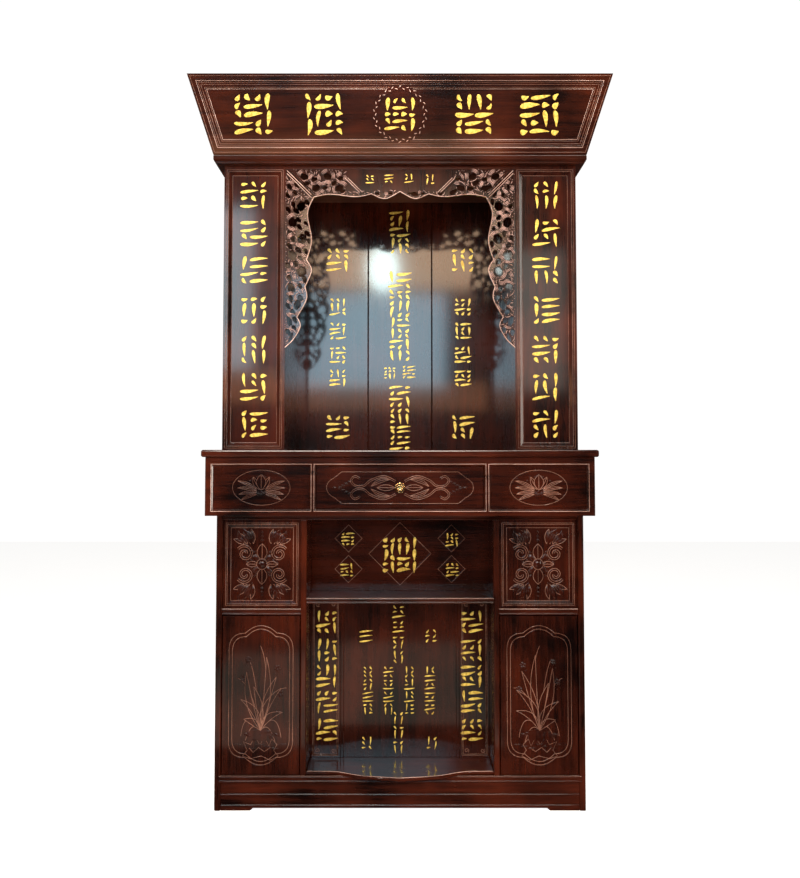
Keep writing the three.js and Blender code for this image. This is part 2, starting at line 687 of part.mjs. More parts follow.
function addTier() {
  const openings = [
    [-tierSideX1, -tierSideX0], [-tierMiddleHalf, tierMiddleHalf], [tierSideX0, tierSideX1],
  ].map(([x0, x1]) => bevelledRecess(x0, x1, tierOpeningZ0, tierOpeningZ1, tierFrontY, tierBevel, tierBevel,
    2 * tierFrameThickness));
  const frame = block(-tierHalf, tierHalf, tierFrontY, tierFrameBackY, tierZ, tableZ);
  add('tier_frame', carve(frame, openings), materials.frameWood);

  const x0 = tierSideX0 + tierBevel;
  const x1 = tierSideX1 - tierBevel;
  const front = block(x0, x1, tierFaceY, tierFrameBackY, tierInsideZ0, tierInsideZ1);
  const middle = [(x0 + x1) / 2, (tierInsideZ0 + tierInsideZ1) / 2];
  const oval = (extra) => ellipsePoints(ovalHalfWidth - extra, ovalHalfHeight - extra, ringSteps);
  const ring = moved(grooveTool(oval, tierFaceY), ...middle);
  const carving = lotus(ovalHalfWidth, ovalHalfHeight, tierFaceY).map((piece) => moved(piece, ...middle));
  addPair('tier_oval_front', carve(front, [ring], carving), materials.panelWood);

  addPair('tier_side', block(tierHalf - tierSideThickness, tierHalf, tierFrameBackY, insideBackY, tierZ,
    tableZ), materials.frameWood);
  add('tier_back', block(-tierHalf, tierHalf, insideBackY, backY, tierZ, tableZ), materials.hiddenWood);
  const innerX = tierHalf - tierSideThickness;
  add('tier_bottom', block(-innerX, innerX, tierFrameBackY, insideBackY, tierZ, tierInsideZ0),
    materials.hiddenWood);
  const stileMiddle = tierMiddleHalf + tierStileFace / 2;
  const partition = block(stileMiddle - partitionThickness / 2, stileMiddle + partitionThickness / 2,
    tierFrameBackY, insideBackY, tierInsideZ0, tableZ);
  addPair('tier_partition', partition, materials.hiddenWood);
}

// The outline carved on the drawer front, straight above and below with stepped, pointed ends
function drawerCartouche(extra) {
  const halfWidth = drawerCartoucheWidth / 2 - extra;
  const halfHeight = drawerCartoucheHeight / 2 - extra;
  const shape = new THREE.Shape();
  const shoulder = halfWidth - drawerCartoucheTip;
  shape.moveTo(halfWidth, 0);
  for (const [sx, sz] of [[1, 1], [-1, 1], [-1, -1], [1, -1]]) {
    const outward = sx * sz > 0;
    const bend = [sx * halfWidth, sz * halfHeight * 0.4];
    const step = [sx * (halfWidth - drawerCartoucheTip / 2), sz * halfHeight * 0.62];
    if (outward) {
      shape.quadraticCurveTo(...bend, ...step);
      shape.lineTo(sx * shoulder, sz * halfHeight);
    } else {
      shape.lineTo(sx * shoulder, sz * halfHeight);
      shape.lineTo(...step);
      shape.quadraticCurveTo(...bend, sx * halfWidth, 0);
    }
  }
  return shape.extractPoints(curveSteps).shape.slice(0, -1);
}

// Leafy scrolls to either side of the knob, in shares of the carved outline's half sizes
const scrollRun = [[0.06, 0.38], [0.22, 0.68], [0.39, 0.45], [0.49, 0.11], [0.6, 0.11], [0.66, 0.42],
  [0.61, 0.68], [0.55, 0.57]];

function drawerScrolls(w, h, faceY) {
  const pieces = [];
  for (const sx of [-1, 1]) {
    for (const sz of [-1, 1]) {
      const run = splinePoints(scrollRun.map(([x, z]) => [sx * x * w, sz * z * h]), spiralSteps + 1);
      pieces.push(relief(ribbonShape(run, ribbonWidth, ribbonTipWidth), faceY));
      const leaf = leafShape([sx * 0.39 * w, sz * 0.08 * h], [sx * 0.14 * w, sz * 0.49 * h], 0.05 * w,
        -sx * sz * 0.2);
      pieces.push(relief(leaf, faceY));
    }
    pieces.push(relief(leafShape([sx * 0.07 * w, 0], [sx * 0.31 * w, 0], 0.08 * w), faceY));
  }
  return pieces;
}

// Drawer: a carved front, a box of four boards behind it and a brass knob
function addDrawer() {
  const halfWidth = tierMiddleHalf - tierBevel - drawerClearance;
  const z0 = tierInsideZ0 + drawerClearance;
  const z1 = tierInsideZ1 - drawerClearance;
  const frontBackY = tierFaceY + drawerFrontThickness;
  const centreZ = (z0 + z1) / 2;
  const board = block(-halfWidth, halfWidth, tierFaceY, frontBackY, z0, z1);
  const outline = moved(grooveTool(drawerCartouche, tierFaceY), 0, centreZ);
  const carving = drawerScrolls(drawerCartoucheWidth / 2, drawerCartoucheHeight / 2, tierFaceY)
    .map((piece) => moved(piece, 0, centreZ));
  add('drawer_front', carve(board, [outline], carving), materials.panelWood);

  const outerX = halfWidth - drawerSideGap;
  const innerX = outerX - drawerWall;
  const bottomZ = tierInsideZ0 + drawerBottomGap + drawerClearance;
  const insideZ = bottomZ + drawerBottomThickness;
  const sideTopZ = bottomZ + drawerSideHeight;
  const endY = frontBackY + drawerLength;
  addPair('drawer_side', block(innerX, outerX, frontBackY, endY, bottomZ, sideTopZ), materials.hiddenWood);
  add('drawer_back', block(-innerX, innerX, endY - drawerWall, endY, insideZ, sideTopZ), materials.hiddenWood);
  add('drawer_bottom', block(-innerX, innerX, frontBackY, endY, bottomZ, insideZ), materials.hiddenWood);

  const profile = [
    [0, 0], [knobStemRadius + knobFlange, 0], [knobStemRadius, knobFlange], [knobStemRadius, knobLength / 2],
    [knobRadius, knobLength / 2 + knobRound], [knobRadius, knobLength - knobRound],
    [knobRadius - knobRound, knobLength],
    [knobRadius / 2, knobLength - knobDish], [0, knobLength - knobDish],
  ].map(([radius, along]) => new THREE.Vector2(radius, along));
  const knob = new THREE.LatheGeometry(profile, ringSteps / 2);
  knob.rotateX(Math.PI);
  knob.translate(0, tierFaceY, centreZ);
  add('drawer_knob', knob, materials.brass);
}

// A board with its front and side edges rounded, from rows of height and inset
function edgedBoard(halfWidth, frontY, rearY, rows) {
  return loft(rows.map(([z, inset]) => [
    [-halfWidth + inset, frontY + inset, z], [halfWidth - inset, frontY + inset, z],
    [halfWidth - inset, rearY, z], [-halfWidth + inset, rearY, z],
  ]));
}

function addTableTop() {
  const round = tableEdgeRound;
  add('table_top', edgedBoard(tableWidth / 2, -tableDepth / 2, backY, [
    [tableZ, round], [tableZ + round / 3, round / 3], [tableZ + round, 0],
    [nicheZ - round, 0], [nicheZ - round / 3, round / 3], [nicheZ, round],
  ]), materials.frameWood);
}

// Niche cabinet: sides, back, ceiling, pilasters and the panelled niche
function addNicheCabinet() {
  const behindPilaster = nicheFrontY + pilasterThickness;
  const nicheBackY = insideBackY - nicheBackThickness;
  const wallX = nicheMouthHalf + nicheWallReveal;
  addPair('upper_side', block(bodyHalf - sideThickness, bodyHalf, behindPilaster, insideBackY, nicheZ, headZ),
    materials.frameWood);
  add('upper_back', block(-bodyHalf, bodyHalf, insideBackY, backY, nicheZ, corniceZ), materials.hiddenWood);
  add('niche_ceiling', block(-bodyHalf, bodyHalf, behindPilaster, insideBackY, headZ, corniceZ),
    materials.hiddenWood);
  add('head_rail', block(-nicheMouthHalf, nicheMouthHalf, nicheFrontY, behindPilaster, headZ, corniceZ),
    materials.frameWood);

  const pilaster = block(nicheMouthHalf, bodyHalf, nicheFrontY, behindPilaster, nicheZ, corniceZ);
  const field = bevelledRecess(nicheMouthHalf + pilasterInnerStile, bodyHalf - pilasterOuterStile,
    nicheZ + pilasterBottomRail, corniceZ - pilasterTopRail, nicheFrontY, pilasterBevel,
    0.75 * pilasterFieldDepth, pilasterFieldDepth);
  addPair('pilaster', carve(pilaster, [field]), materials.frameWood);

  addPair('niche_wall', block(wallX, wallX + nicheWallThickness, behindPilaster, nicheBackY, nicheZ, headZ),
    materials.panelWood);
  const centreHalfWidth = nicheCentrePanelWidth / 2;
  add('niche_back_centre', upright(-centreHalfWidth, centreHalfWidth, nicheBackY, insideBackY, nicheZ, headZ),
    materials.panelWood);
  addPair('niche_back', upright(centreHalfWidth, wallX + nicheWallThickness, nicheBackY, insideBackY, nicheZ,
    headZ), materials.panelWood);
}

// The inner edge of the side fringe in three lobes, as distance in from the pilaster and down from the head
function fringeSideEdge() {
  const runs = [
    [[1, fringeCorner / fringeDrop], [0.78, 0.25], [0.93, 0.4], [0.75, 0.51]],
    [[0.75, 0.51], [0.93, 0.57], [0.7, 0.66]],
    [[0.7, 0.66], [0.76, 0.73], [0.42, 0.83]],
    [[0.42, 0.83], [0.54, 0.88], [0.32, 0.95], [0, 1]],
  ];
  return fringeEdge(runs, fringeCorner, fringeDrop);
}

// The lower edge of the top fringe from the corner to the middle, in the same distances
function fringeTopEdge() {
  const middle = middlePlateHeight / fringeCorner;
  const runs = [
    [[fringeCorner / nicheMouthHalf, 1], [0.39, 0.9], [0.61, 0.99], [0.75, 0.89]],
    [[0.75, 0.89], [0.87, 1.06], [1, middle]],
  ];
  return fringeEdge(runs, nicheMouthHalf, fringeCorner);
}

function fringeEdge(runs, inScale, downScale) {
  const scaled = runs.map((run) => run.map(([inward, down]) => [inward * inScale, down * downScale]));
  return scaled.flatMap((run, i) => splinePoints(run, run.length + 2).slice(i === 0 ? 0 : 1));
}

// How far the side fringe reaches in at a given distance down
function fringeReach(edge, down) {
  const after = edge.findIndex((point) => point.y >= down);
  const a = edge[after - 1];
  const b = edge[after];
  return a.x + ((b.x - a.x) * (down - a.y)) / (b.y - a.y);
}

const fringeBackY = nicheFrontY + fringeSetback + fringeThickness;
const fringeFaceY = nicheFrontY + fringeSetback;

// A fringe drawing, in distances in and down, set in the left half of the niche mouth
function fringePoint(point) {
  return new THREE.Vector2(point.x - nicheMouthHalf, headZ - point.y);
}

function fringeShape(points) {
  return new THREE.Shape(points.map(fringePoint));
}

function fringeEllipse(across, down, halfWidth, halfHeight, lean) {
  return fringeShape(ellipsePoints(halfWidth, halfHeight, windowSteps, lean, [across, down]));
}

function fringeRaised(shape, height = fringeRimProud) {
  return relief(shape, fringeFaceY, height);
}

function fringeLeaf(base, tip, width, bow) {
  const shape = leafShape(base, tip, width, bow);
  return fringeRaised(fringeShape(shape.extractPoints(leafSteps - 1).shape.slice(0, -1)));
}

function fringeFlower(centre, radius) {
  const shape = flowerShape(centre, radius, 5);
  return fringeRaised(fringeShape(shape.extractPoints(1).shape));
}

// A hole that goes right through the fringe
function fringeWindow(across, down, halfWidth, halfHeight, lean) {
  return plate(fringeEllipse(across, down, halfWidth, halfHeight, lean), fringeBackY + carveSink,
    fringeThickness + 2 * carveSink);
}

function fringeRibbon(points, width, height) {
  return fringeRaised(fringeShape(ribbonShape(points, width, width).extractPoints(1).shape), height);
}

// The piece kept inside its own outline, from its back to above its highest carving
function clippedTo(outline, geometry) {
  const clip = plate(outline, fringeBackY + fringeThickness, 4 * fringeThickness);
  return toGeometry(toSolid(geometry).intersect(toSolid(clip)));
}

// The side fringe: a lobed board pierced between flowers and leaves, with a raised rim and a mitre rod
function sideFringe() {
  const edge = fringeSideEdge();
  const outline = fringeShape([new THREE.Vector2(0, 0), ...edge]);
  const windows = [];
  const raised = [];
  const pitch = fringeWindowPitch;
  const count = Math.floor((fringeDrop - fringeCorner) / pitch);
  for (let i = 0; i < count; i += 1) {
    const down = fringeCorner + (i + 0.55) * pitch;
    const reach = fringeReach(edge, down);
    const inner = i % 2 === 0;
    const lean = inner ? 0.25 : -0.3;
    windows.push(fringeWindow((inner ? 0.64 : 0.3) * reach, down, 0.2 * reach, 0.36 * pitch, lean));
    if (reach > 0.6 * fringeCorner) {
      raised.push(fringeFlower([(inner ? 0.26 : 0.7) * reach, down + 0.08 * pitch], 0.2 * reach));
    }
    raised.push(fringeLeaf([0.2 * reach, down + 0.55 * pitch], [0.8 * reach, down + 0.25 * pitch],
      0.22 * pitch, inner ? 0.2 : -0.2));
  }
  const beside = 0.75 * fringeRodWidth;
  const rodEnd = new THREE.Vector2(fringeCorner - beside, fringeCorner);
  const rod = [new THREE.Vector2(beside / 2, 1.5 * beside), rodEnd];
  raised.push(fringeRibbon(rod, fringeRodWidth, 2 * fringeRimProud));
  raised.push(fringeRibbon(edge, fringeRimWidth, fringeRimProud));
  raised.push(fringeLeaf([0.15 * fringeCorner, 0.42 * fringeCorner], [0.5 * fringeCorner, 0.93 * fringeCorner],
    0.22 * fringeCorner, 0.1));
  return clippedTo(outline, carve(plate(outline, fringeBackY, fringeThickness), windows, raised));
}

// Half of the top fringe's carving, from the corner to the plain plate in the middle
function topFringeHalf(edge) {
  const c = fringeCorner;
  const plateX = nicheMouthHalf - middlePlateHalf;
  const windows = [];
  const raised = [];
  const pitch = (plateX - c / 2) / 4;
  for (let i = 0; i < 4; i += 1) {
    const across = 0.62 * c + i * pitch;
    const low = i % 2 === 0;
    const lean = low ? 0.5 : -0.4;
    windows.push(fringeWindow(across + 0.04 * c, (low ? 0.25 : 0.67) * c, 0.17 * c, 0.12 * c, lean));
    raised.push(fringeLeaf([across - 0.17 * c, (low ? 0.46 : 0.23) * c],
      [across + 0.23 * c, (low ? 0.74 : 0.46) * c], 0.14 * c, low ? 0.2 : -0.2));
    if (i > 0) raised.push(fringeFlower([across + 0.06 * c, (low ? 0.57 : 0.36) * c], 0.14 * c));
  }
  const lobeWidth = middlePlateHalf / 4;
  for (let i = 1; i < 3; i += 1) {
    const across = nicheMouthHalf - (i - 0.3) * lobeWidth;
    const level = middlePlateHeight + middlePlateGap;
    windows.push(fringeWindow(across, level, lobeWidth / 5, 0.7 * middlePlateGap, 0));
    raised.push(fringeLeaf([across - lobeWidth / 2, level + middlePlateGap / 2],
      [across - lobeWidth / 5, level], 0.1 * c, 0.1));
  }
  const bar = [new THREE.Vector2(plateX, middlePlateShoulder),
    new THREE.Vector2(plateX + middlePlateSlant, middlePlateShoulder + middlePlateSlant)];
  const rod = [new THREE.Vector2(0.23 * c, 0.08 * c), new THREE.Vector2(1.06 * c, 0.91 * c)];
  raised.push(fringeRibbon(edge, fringeRimWidth, fringeRimProud));
  raised.push(fringeRibbon(bar, fringeRodWidth, 2 * fringeRimProud));
  raised.push(fringeRibbon(rod, fringeRimWidth, 2 * fringeRimProud));
  return { windows, raised };
}

// The plain plate between the two halves, a wide board with slanted lower corners
function middlePlateShape() {
  const half = middlePlateHalf - middlePlateGap;
  const foot = headZ - middlePlateHeight;
  const corners = [[half, headZ], [half, headZ - middlePlateShoulder], [half - middlePlateSlant, foot]];
  const other = corners.map(([x, z]) => [-x, z]).reverse();
  return new THREE.Shape([...corners, ...other].map(([x, z]) => new THREE.Vector2(x, z)));
}

// The top fringe: pierced carving to either side of a plain plate, mitred into the side fringes
function topFringe() {
  const edge = fringeTopEdge();
  const whole = edge.map(fringePoint);
  const other = whole.slice(0, -1).reverse().map((point) => new THREE.Vector2(-point.x, point.y));
  const corners = [[nicheMouthHalf, headZ], [-nicheMouthHalf, headZ]].map(([x, z]) => new THREE.Vector2(x, z));
  const outline = new THREE.Shape([...whole, ...other, ...corners]);
  const { windows, raised } = topFringeHalf(edge);
  const joins = [...raised, ...raised.map(mirrored), fringeRaised(middlePlateShape(), fringeRimProud / 2)];
  const board = plate(outline, fringeBackY, fringeThickness);
  return clippedTo(outline, carve(board, [...windows, ...windows.map(mirrored)], joins));
}

function addFringe() {
  const side = sideFringe();
  add('fringe_left', side, materials.carvedWood);
  add('fringe_right', mirrored(side), materials.carvedWood);
  add('fringe_top', topFringe(), materials.carvedWood);
}

// Where the flare's faces stand at height z: half its width, and its front, for a given spread and inset
function corniceRing(z, spread, inset) {
  const half = bodyHalf + corniceBandOverhang + spread - inset;
  const front = nicheFrontY - corniceBandOverhang - spread + inset;
  return { half, front, z };
}

// One flaring board as a six-sided block between an outer and an inner slope
function flareFront(low, high, lowIn, highIn) {
  return loft([
    [[-low.half, low.front, low.z], [low.half, low.front, low.z],
      [lowIn.half, lowIn.front, lowIn.z], [-lowIn.half, lowIn.front, lowIn.z]],
    [[-high.half, high.front, high.z], [high.half, high.front, high.z],
      [highIn.half, highIn.front, highIn.z], [-highIn.half, highIn.front, highIn.z]],
  ]);
}

function flareSide(low, high, lowIn, highIn) {
  return loft([
    [[low.half, low.front, low.z], [low.half, insideBackY, low.z],
      [lowIn.half, insideBackY, lowIn.z], [lowIn.half, lowIn.front, lowIn.z]],
    [[high.half, high.front, high.z], [high.half, insideBackY, high.z],
      [highIn.half, insideBackY, highIn.z], [highIn.half, highIn.front, highIn.z]],
  ]);
}

// A sunk field on a sloping board, from its corners across and up the slope
function slopeField(corners, depth, place) {
  const shape = new THREE.Shape(corners.map(([u, v]) => new THREE.Vector2(u, v)));
  const geometry = new THREE.ExtrudeGeometry(shape, { depth: depth + carveSink, bevelEnabled: false });
  geometry.translate(0, 0, -depth);
  geometry.applyMatrix4(place);
  return geometry;
}

// Cornice: a rounded band, flaring boards with sunk fields, a wreath on the front one, and plain covers
function addCornice() {
  const spread = corniceTopOverhang - corniceBandOverhang;
  const slope = Math.hypot(spread, corniceFlareHeight);
  const rise = corniceFlareHeight / slope;
  const lean = spread / slope;
  const level = corniceBoard / rise;
  const low = corniceRing(flareZ, 0, 0);
  const high = corniceRing(topZ, spread, 0);
  const lowIn = corniceRing(flareZ, 0, level);
  const highIn = corniceRing(topZ, spread, level);

  const frontPlace = new THREE.Matrix4().makeBasis(
    new THREE.Vector3(1, 0, 0), new THREE.Vector3(0, -lean, rise), new THREE.Vector3(0, -rise, -lean));
  frontPlace.setPosition(0, low.front, low.z);
  const frontField = (margin) => {
    const edge = (v) => low.half + ((high.half - low.half) * v) / slope - margin;
    return [[-edge(margin), margin], [edge(margin), margin], [edge(slope - margin), slope - margin],
      [-edge(slope - margin), slope - margin]];
  };
  const fields = [slopeField(frontField(corniceBorder), corniceFieldDepth, frontPlace),
    slopeField(frontField(corniceField), corniceFieldDepth + corniceLineDepth, frontPlace)];
  const wreathOuter = ellipsePoints(wreathRadius, wreathRadius, ringSteps)
    .map((point, i) => point.multiplyScalar(1 + wreathNotch * (i % 2)));
  const wreathInner = ellipsePoints(wreathRadius - wreathWidth, wreathRadius - wreathWidth, ringSteps);
  const wreath = new THREE.ExtrudeGeometry(ringShape(wreathOuter, wreathInner), {
    depth: wreathHeight + carveSink, bevelEnabled: false });
  wreath.translate(0, slope / 2, -corniceFieldDepth - corniceLineDepth - carveSink);
  wreath.applyMatrix4(frontPlace);
  add('cornice_front', carve(flareFront(low, high, lowIn, highIn), fields, [wreath]), materials.frameWood);

  const sidePlace = new THREE.Matrix4().makeBasis(
    new THREE.Vector3(0, 1, 0), new THREE.Vector3(lean, 0, rise), new THREE.Vector3(rise, 0, -lean));
  sidePlace.setPosition(low.half, 0, low.z);
  const sideField = (margin) => {
    const edge = (v) => low.front + ((high.front - low.front) * v) / slope + margin;
    const rear = insideBackY - margin;
    return [[edge(margin), margin], [rear, margin], [rear, slope - margin],
      [edge(slope - margin), slope - margin]];
  };
  const sideFields = [slopeField(sideField(corniceBorder), corniceFieldDepth, sidePlace),
    slopeField(sideField(corniceField), corniceFieldDepth + corniceLineDepth, sidePlace)];
  addPair('cornice_side', carve(flareSide(low, high, lowIn, highIn), sideFields), materials.frameWood);

  const back = loft([
    [[-low.half, insideBackY, low.z], [low.half, insideBackY, low.z], [low.half, backY, low.z],
      [-low.half, backY, low.z]],
    [[-high.half, insideBackY, high.z], [high.half, insideBackY, high.z], [high.half, backY, high.z],
      [-high.half, backY, high.z]],
  ]);
  add('cornice_back', back, materials.hiddenWood);

  const coverZ = topZ - corniceTopSink;
  const underZ = coverZ - corniceTopThickness;
  const coverAt = (z) => corniceRing(z, (spread * (z - flareZ)) / corniceFlareHeight, level + fitGap);
  const cover = loft([coverAt(underZ), coverAt(coverZ)].map(({ half, front, z }) => [
    [-half, front, z], [half, front, z], [half, insideBackY, z], [-half, insideBackY, z],
  ]));
  add('cornice_top', cover, materials.hiddenWood);

  const step = corniceBandStep;
  add('cornice_band', edgedBoard(low.half, low.front, backY, [
    [corniceZ, step], [corniceZ + step, step], [corniceZ + step, step / 2], [corniceZ + 2 * step, 0],
    [flareZ - step / 2, 0], [flareZ, step / 3],
  ]), materials.frameWood);
}

addBaseCarcass();
addPlinth();
addCarvedPanels();
addDoors();
addCentreBay();
addTier();
addDrawer();
addTableTop();
addNicheCabinet();
addFringe();
addCornice();

export default cabinet;
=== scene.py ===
import json
import math
import random

import bmesh
import bpy
from mathutils import Matrix, Vector
from mathutils.bvhtree import BVHTree


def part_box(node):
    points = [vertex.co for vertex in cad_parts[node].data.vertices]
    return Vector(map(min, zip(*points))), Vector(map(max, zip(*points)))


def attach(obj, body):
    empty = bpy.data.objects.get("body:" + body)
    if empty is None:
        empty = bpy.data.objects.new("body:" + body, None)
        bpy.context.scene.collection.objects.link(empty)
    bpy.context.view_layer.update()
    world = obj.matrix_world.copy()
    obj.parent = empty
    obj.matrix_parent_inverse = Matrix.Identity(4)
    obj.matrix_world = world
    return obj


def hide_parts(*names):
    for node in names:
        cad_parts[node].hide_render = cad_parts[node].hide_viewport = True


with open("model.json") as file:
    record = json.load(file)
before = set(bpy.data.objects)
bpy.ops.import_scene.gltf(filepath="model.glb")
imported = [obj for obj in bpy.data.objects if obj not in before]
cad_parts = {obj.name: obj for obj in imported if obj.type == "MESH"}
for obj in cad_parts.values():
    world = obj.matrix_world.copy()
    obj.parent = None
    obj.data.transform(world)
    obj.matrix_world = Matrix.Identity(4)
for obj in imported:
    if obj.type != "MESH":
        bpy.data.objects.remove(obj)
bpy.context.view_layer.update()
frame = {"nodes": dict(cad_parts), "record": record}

mm = 0.001
scene = bpy.context.scene
scene.view_settings.view_transform = "Standard"

# The photograph's camera, worked out from the table edge and the cornice
cameraSet = {
    "place": (0.0, -3.13, 1.127),
    "pitch": 2.7,  # degrees upwards
    "focalPixels": 893,
    "imageHeight": 878,
    "centreRow": 415.9,
    "centreColumn": 400,
}


def addCamera():
    data = bpy.data.cameras.new("camera")
    data.sensor_fit = "VERTICAL"
    data.sensor_height = 36
    data.lens = 36 * cameraSet["focalPixels"] / cameraSet["imageHeight"]
    data.shift_y = (cameraSet["centreRow"] - cameraSet["imageHeight"] / 2) / cameraSet["imageHeight"]
    camera = bpy.data.objects.new("camera", data)
    camera.location = cameraSet["place"]
    camera.rotation_euler = (math.radians(90 + cameraSet["pitch"]), 0, 0)
    scene.collection.objects.link(camera)
    scene.camera = camera


addCamera()
print("camera placed")


# A socket that takes part in sums, so shader maths reads as plain expressions
class Value:
    def __init__(self, tree, socket):
        self.tree, self.socket = tree, socket

    def node(self, kind, settings=None, **sockets):
        made = self.tree.nodes.new(kind)
        for name, value in (settings or {}).items():
            if name == "stops":
                ramp = made.color_ramp
                while len(ramp.elements) < len(value):
                    ramp.elements.new(0.5)
                for element, (place, colour) in zip(ramp.elements, value):
                    element.position, element.color = place, (*colour, 1)
            else:
                setattr(made, name, value)
        for name, value in sockets.items():
            target = made.inputs[int(name[1:]) if name[1:].isdigit() else name.replace("_", " ")]
            if isinstance(value, Value):
                self.tree.links.new(value.socket, target)
            else:
                target.default_value = value
        return made

    def out(self, made, name=0):
        return Value(self.tree, made.outputs[name])

    def maths(self, operation, a, b=0.0):
        return self.out(self.node("ShaderNodeMath", {"operation": operation}, i0=a, i1=b))

    def __add__(self, other):
        return self.maths("ADD", self, other)

    def __radd__(self, other):
        return self.maths("ADD", other, self)

    def __sub__(self, other):
        return self.maths("SUBTRACT", self, other)

    def __rsub__(self, other):
        return self.maths("SUBTRACT", other, self)

    def __mul__(self, other):
        return self.maths("MULTIPLY", self, other)

    def __rmul__(self, other):
        return self.maths("MULTIPLY", other, self)


def newMaterial(name):
    material = bpy.data.materials.new(name)
    material.use_nodes = True
    tree = material.node_tree
    tree.nodes.clear()
    start = Value(tree, None)
    shader = start.node("ShaderNodeBsdfPrincipled")
    output = start.node("ShaderNodeOutputMaterial")
    tree.links.new(shader.outputs[0], output.inputs[0])
    place = start.out(start.node("ShaderNodeTexCoord"), "Object")
    return material, shader, place


def feed(shader, name, value):
    value.tree.links.new(value.socket, shader.inputs[name])


def noise(place, scale, **sockets):
    return place.out(place.node("ShaderNodeTexNoise", None, Vector=place, Scale=scale, **sockets), "Fac")


woodSet = {
    "frame": {"dark": (0.003, 0.0006, 0.0003), "light": (0.054, 0.0078, 0.0021), "rough": 0.3, "coat": 0.8},
    "panel": {"dark": (0.0025, 0.0005, 0.0003), "light": (0.042, 0.0060, 0.0016), "rough": 0.28, "coat": 0.8},
    # cornice: the frame's lacquer again, its tone shifted for how light falls on the sloping cornice, painted
    # light and shade
    "cornice": {"dark": (0.004, 0.0008, 0.0004), "light": (0.044, 0.0074, 0.0022), "rough": 0.3, "coat": 0.8},
    # carved: the carving's wood, with its tone raised above the frame's to paint in the sheen its bumpy face
    # catches, a painted highlight
    "carved": {"dark": (0.006, 0.0012, 0.0008), "light": (0.085, 0.021, 0.012), "rough": 0.3, "coat": 0.9},
    # edge and rim: pale tones for the beads along carved lines and edges, painted highlights for the glints
    # those edges catch; rim is the brighter
    "edge": {"dark": (0.06, 0.022, 0.014), "light": (0.32, 0.15, 0.10), "rough": 0.28, "coat": 0.9},
    "rim": {"dark": (0.22, 0.11, 0.08), "light": (0.84, 0.56, 0.46), "rough": 0.28, "coat": 0.9},
    "hidden": {"dark": (0.05, 0.016, 0.010), "light": (0.13, 0.048, 0.026), "rough": 0.5, "coat": 0.15},
}
lacquerSet = {"coatRough": 0.09, "specular": 0.07, "bump": 0.08, "bumpDepth": 1.5 * mm}
# Where the fringe's painted highlight starts and is full, along Y: proud parts are painted pale as if lit,
# and deep ones stay dark as painted shade
fringePaintedLight = {"deep": -0.1438, "proud": -0.1474, "pale": (0.86, 0.52, 0.43)}
grainScale = {"x": (2.2, 34, 34), "y": (34, 2.2, 34), "z": (34, 34, 2.2)}
# Noise scales, each noise's share of the tone, and where the tone is dark, middling and light
grainSet = {"cloud": 4.5, "grain": 1.4, "fine": 9.0, "scuff": 22.0, "shares": (0.38, 0.14, 0.62),
            "stops": (0.44, 0.57, 0.70)}


# Lacquered wood: long grain, fine pores, cloudy colour and small scuffs in the gloss
def woodMaterial(kind, axis):
    look = woodSet[kind]
    material, shader, place = newMaterial(f"{kind}Wood_{axis}")
    along = place.out(place.node("ShaderNodeMapping", None, Vector=place, Scale=grainScale[axis]))
    cloud = noise(place, grainSet["cloud"], Detail=3.0)
    grain = noise(along, grainSet["grain"], Detail=6.0, Roughness=0.62, Distortion=0.5)
    fine = noise(along, grainSet["fine"], Detail=4.0)
    grainShare, fineShare, cloudShare = grainSet["shares"]
    tone = grain * grainShare + fine * fineShare + cloud * cloudShare
    middle = tuple(0.55 * a + 0.45 * b for a, b in zip(look["dark"], look["light"]))
    stops = list(zip(grainSet["stops"], (look["dark"], middle, look["light"])))
    ramp = place.node("ShaderNodeValToRGB", {"stops": stops}, Fac=tone)
    colour = place.out(ramp)
    if kind == "carved":  # painted highlight: raised parts of the fringe are painted pale, and its crevices stay dark as painted shade
        depth = place.out(place.node("ShaderNodeSeparateXYZ", None, Vector=place), "Y")
        paintedLight = fringePaintedLight
        proud = place.node("ShaderNodeMapRange", None, Value=depth, From_Min=paintedLight["deep"],
                           From_Max=paintedLight["proud"])
        share = place.out(proud) * (0.35 + grain * 0.9)
        mix = place.node("ShaderNodeMix", {"data_type": "RGBA", "clamp_factor": True}, i0=share,
                         i6=colour, i7=(*paintedLight["pale"], 1))
        colour = place.out(mix, 2)
    feed(shader, "Base Color", colour)
    scuff = noise(place, grainSet["scuff"], Detail=5.0)
    feed(shader, "Roughness", scuff * 0.14 + fine * 0.06 + (look["rough"] - 0.1))
    shader.inputs["Coat Weight"].default_value = look["coat"]
    shader.inputs["Coat Roughness"].default_value = lacquerSet["coatRough"]
    shader.inputs["Specular IOR Level"].default_value = lacquerSet["specular"]
    bump = place.node("ShaderNodeBump", None, Height=fine * 0.5 + grain * 0.5,
                      Strength=lacquerSet["bump"], Distance=lacquerSet["bumpDepth"])
    feed(shader, "Normal", place.out(bump))
    return material


goldSet = {"dark": (0.52, 0.29, 0.03), "light": (0.98, 0.71, 0.14), "rough": 0.36, "metal": 0.45}
brassSet = {"dark": (0.6, 0.38, 0.14), "light": (0.95, 0.72, 0.36), "rough": 0.22, "metal": 1.0}


# Gold leaf and brass share one recipe: mottled tone, uneven gloss and a soft bump
def metalMaterial(name, look, mottle):
    material, shader, place = newMaterial(name)
    patch = noise(place, mottle, Detail=4.0)
    stops = [(0.3, look["dark"]), (0.62, look["light"])]
    ramp = place.node("ShaderNodeValToRGB", {"stops": stops}, Fac=patch)
    feed(shader, "Base Color", place.out(ramp))
    feed(shader, "Roughness", patch * 0.2 + (look["rough"] - 0.1))
    shader.inputs["Metallic"].default_value = look["metal"]
    bump = place.node("ShaderNodeBump", None, Height=patch, Strength=0.25, Distance=0.0006)
    feed(shader, "Normal", place.out(bump))
    return material


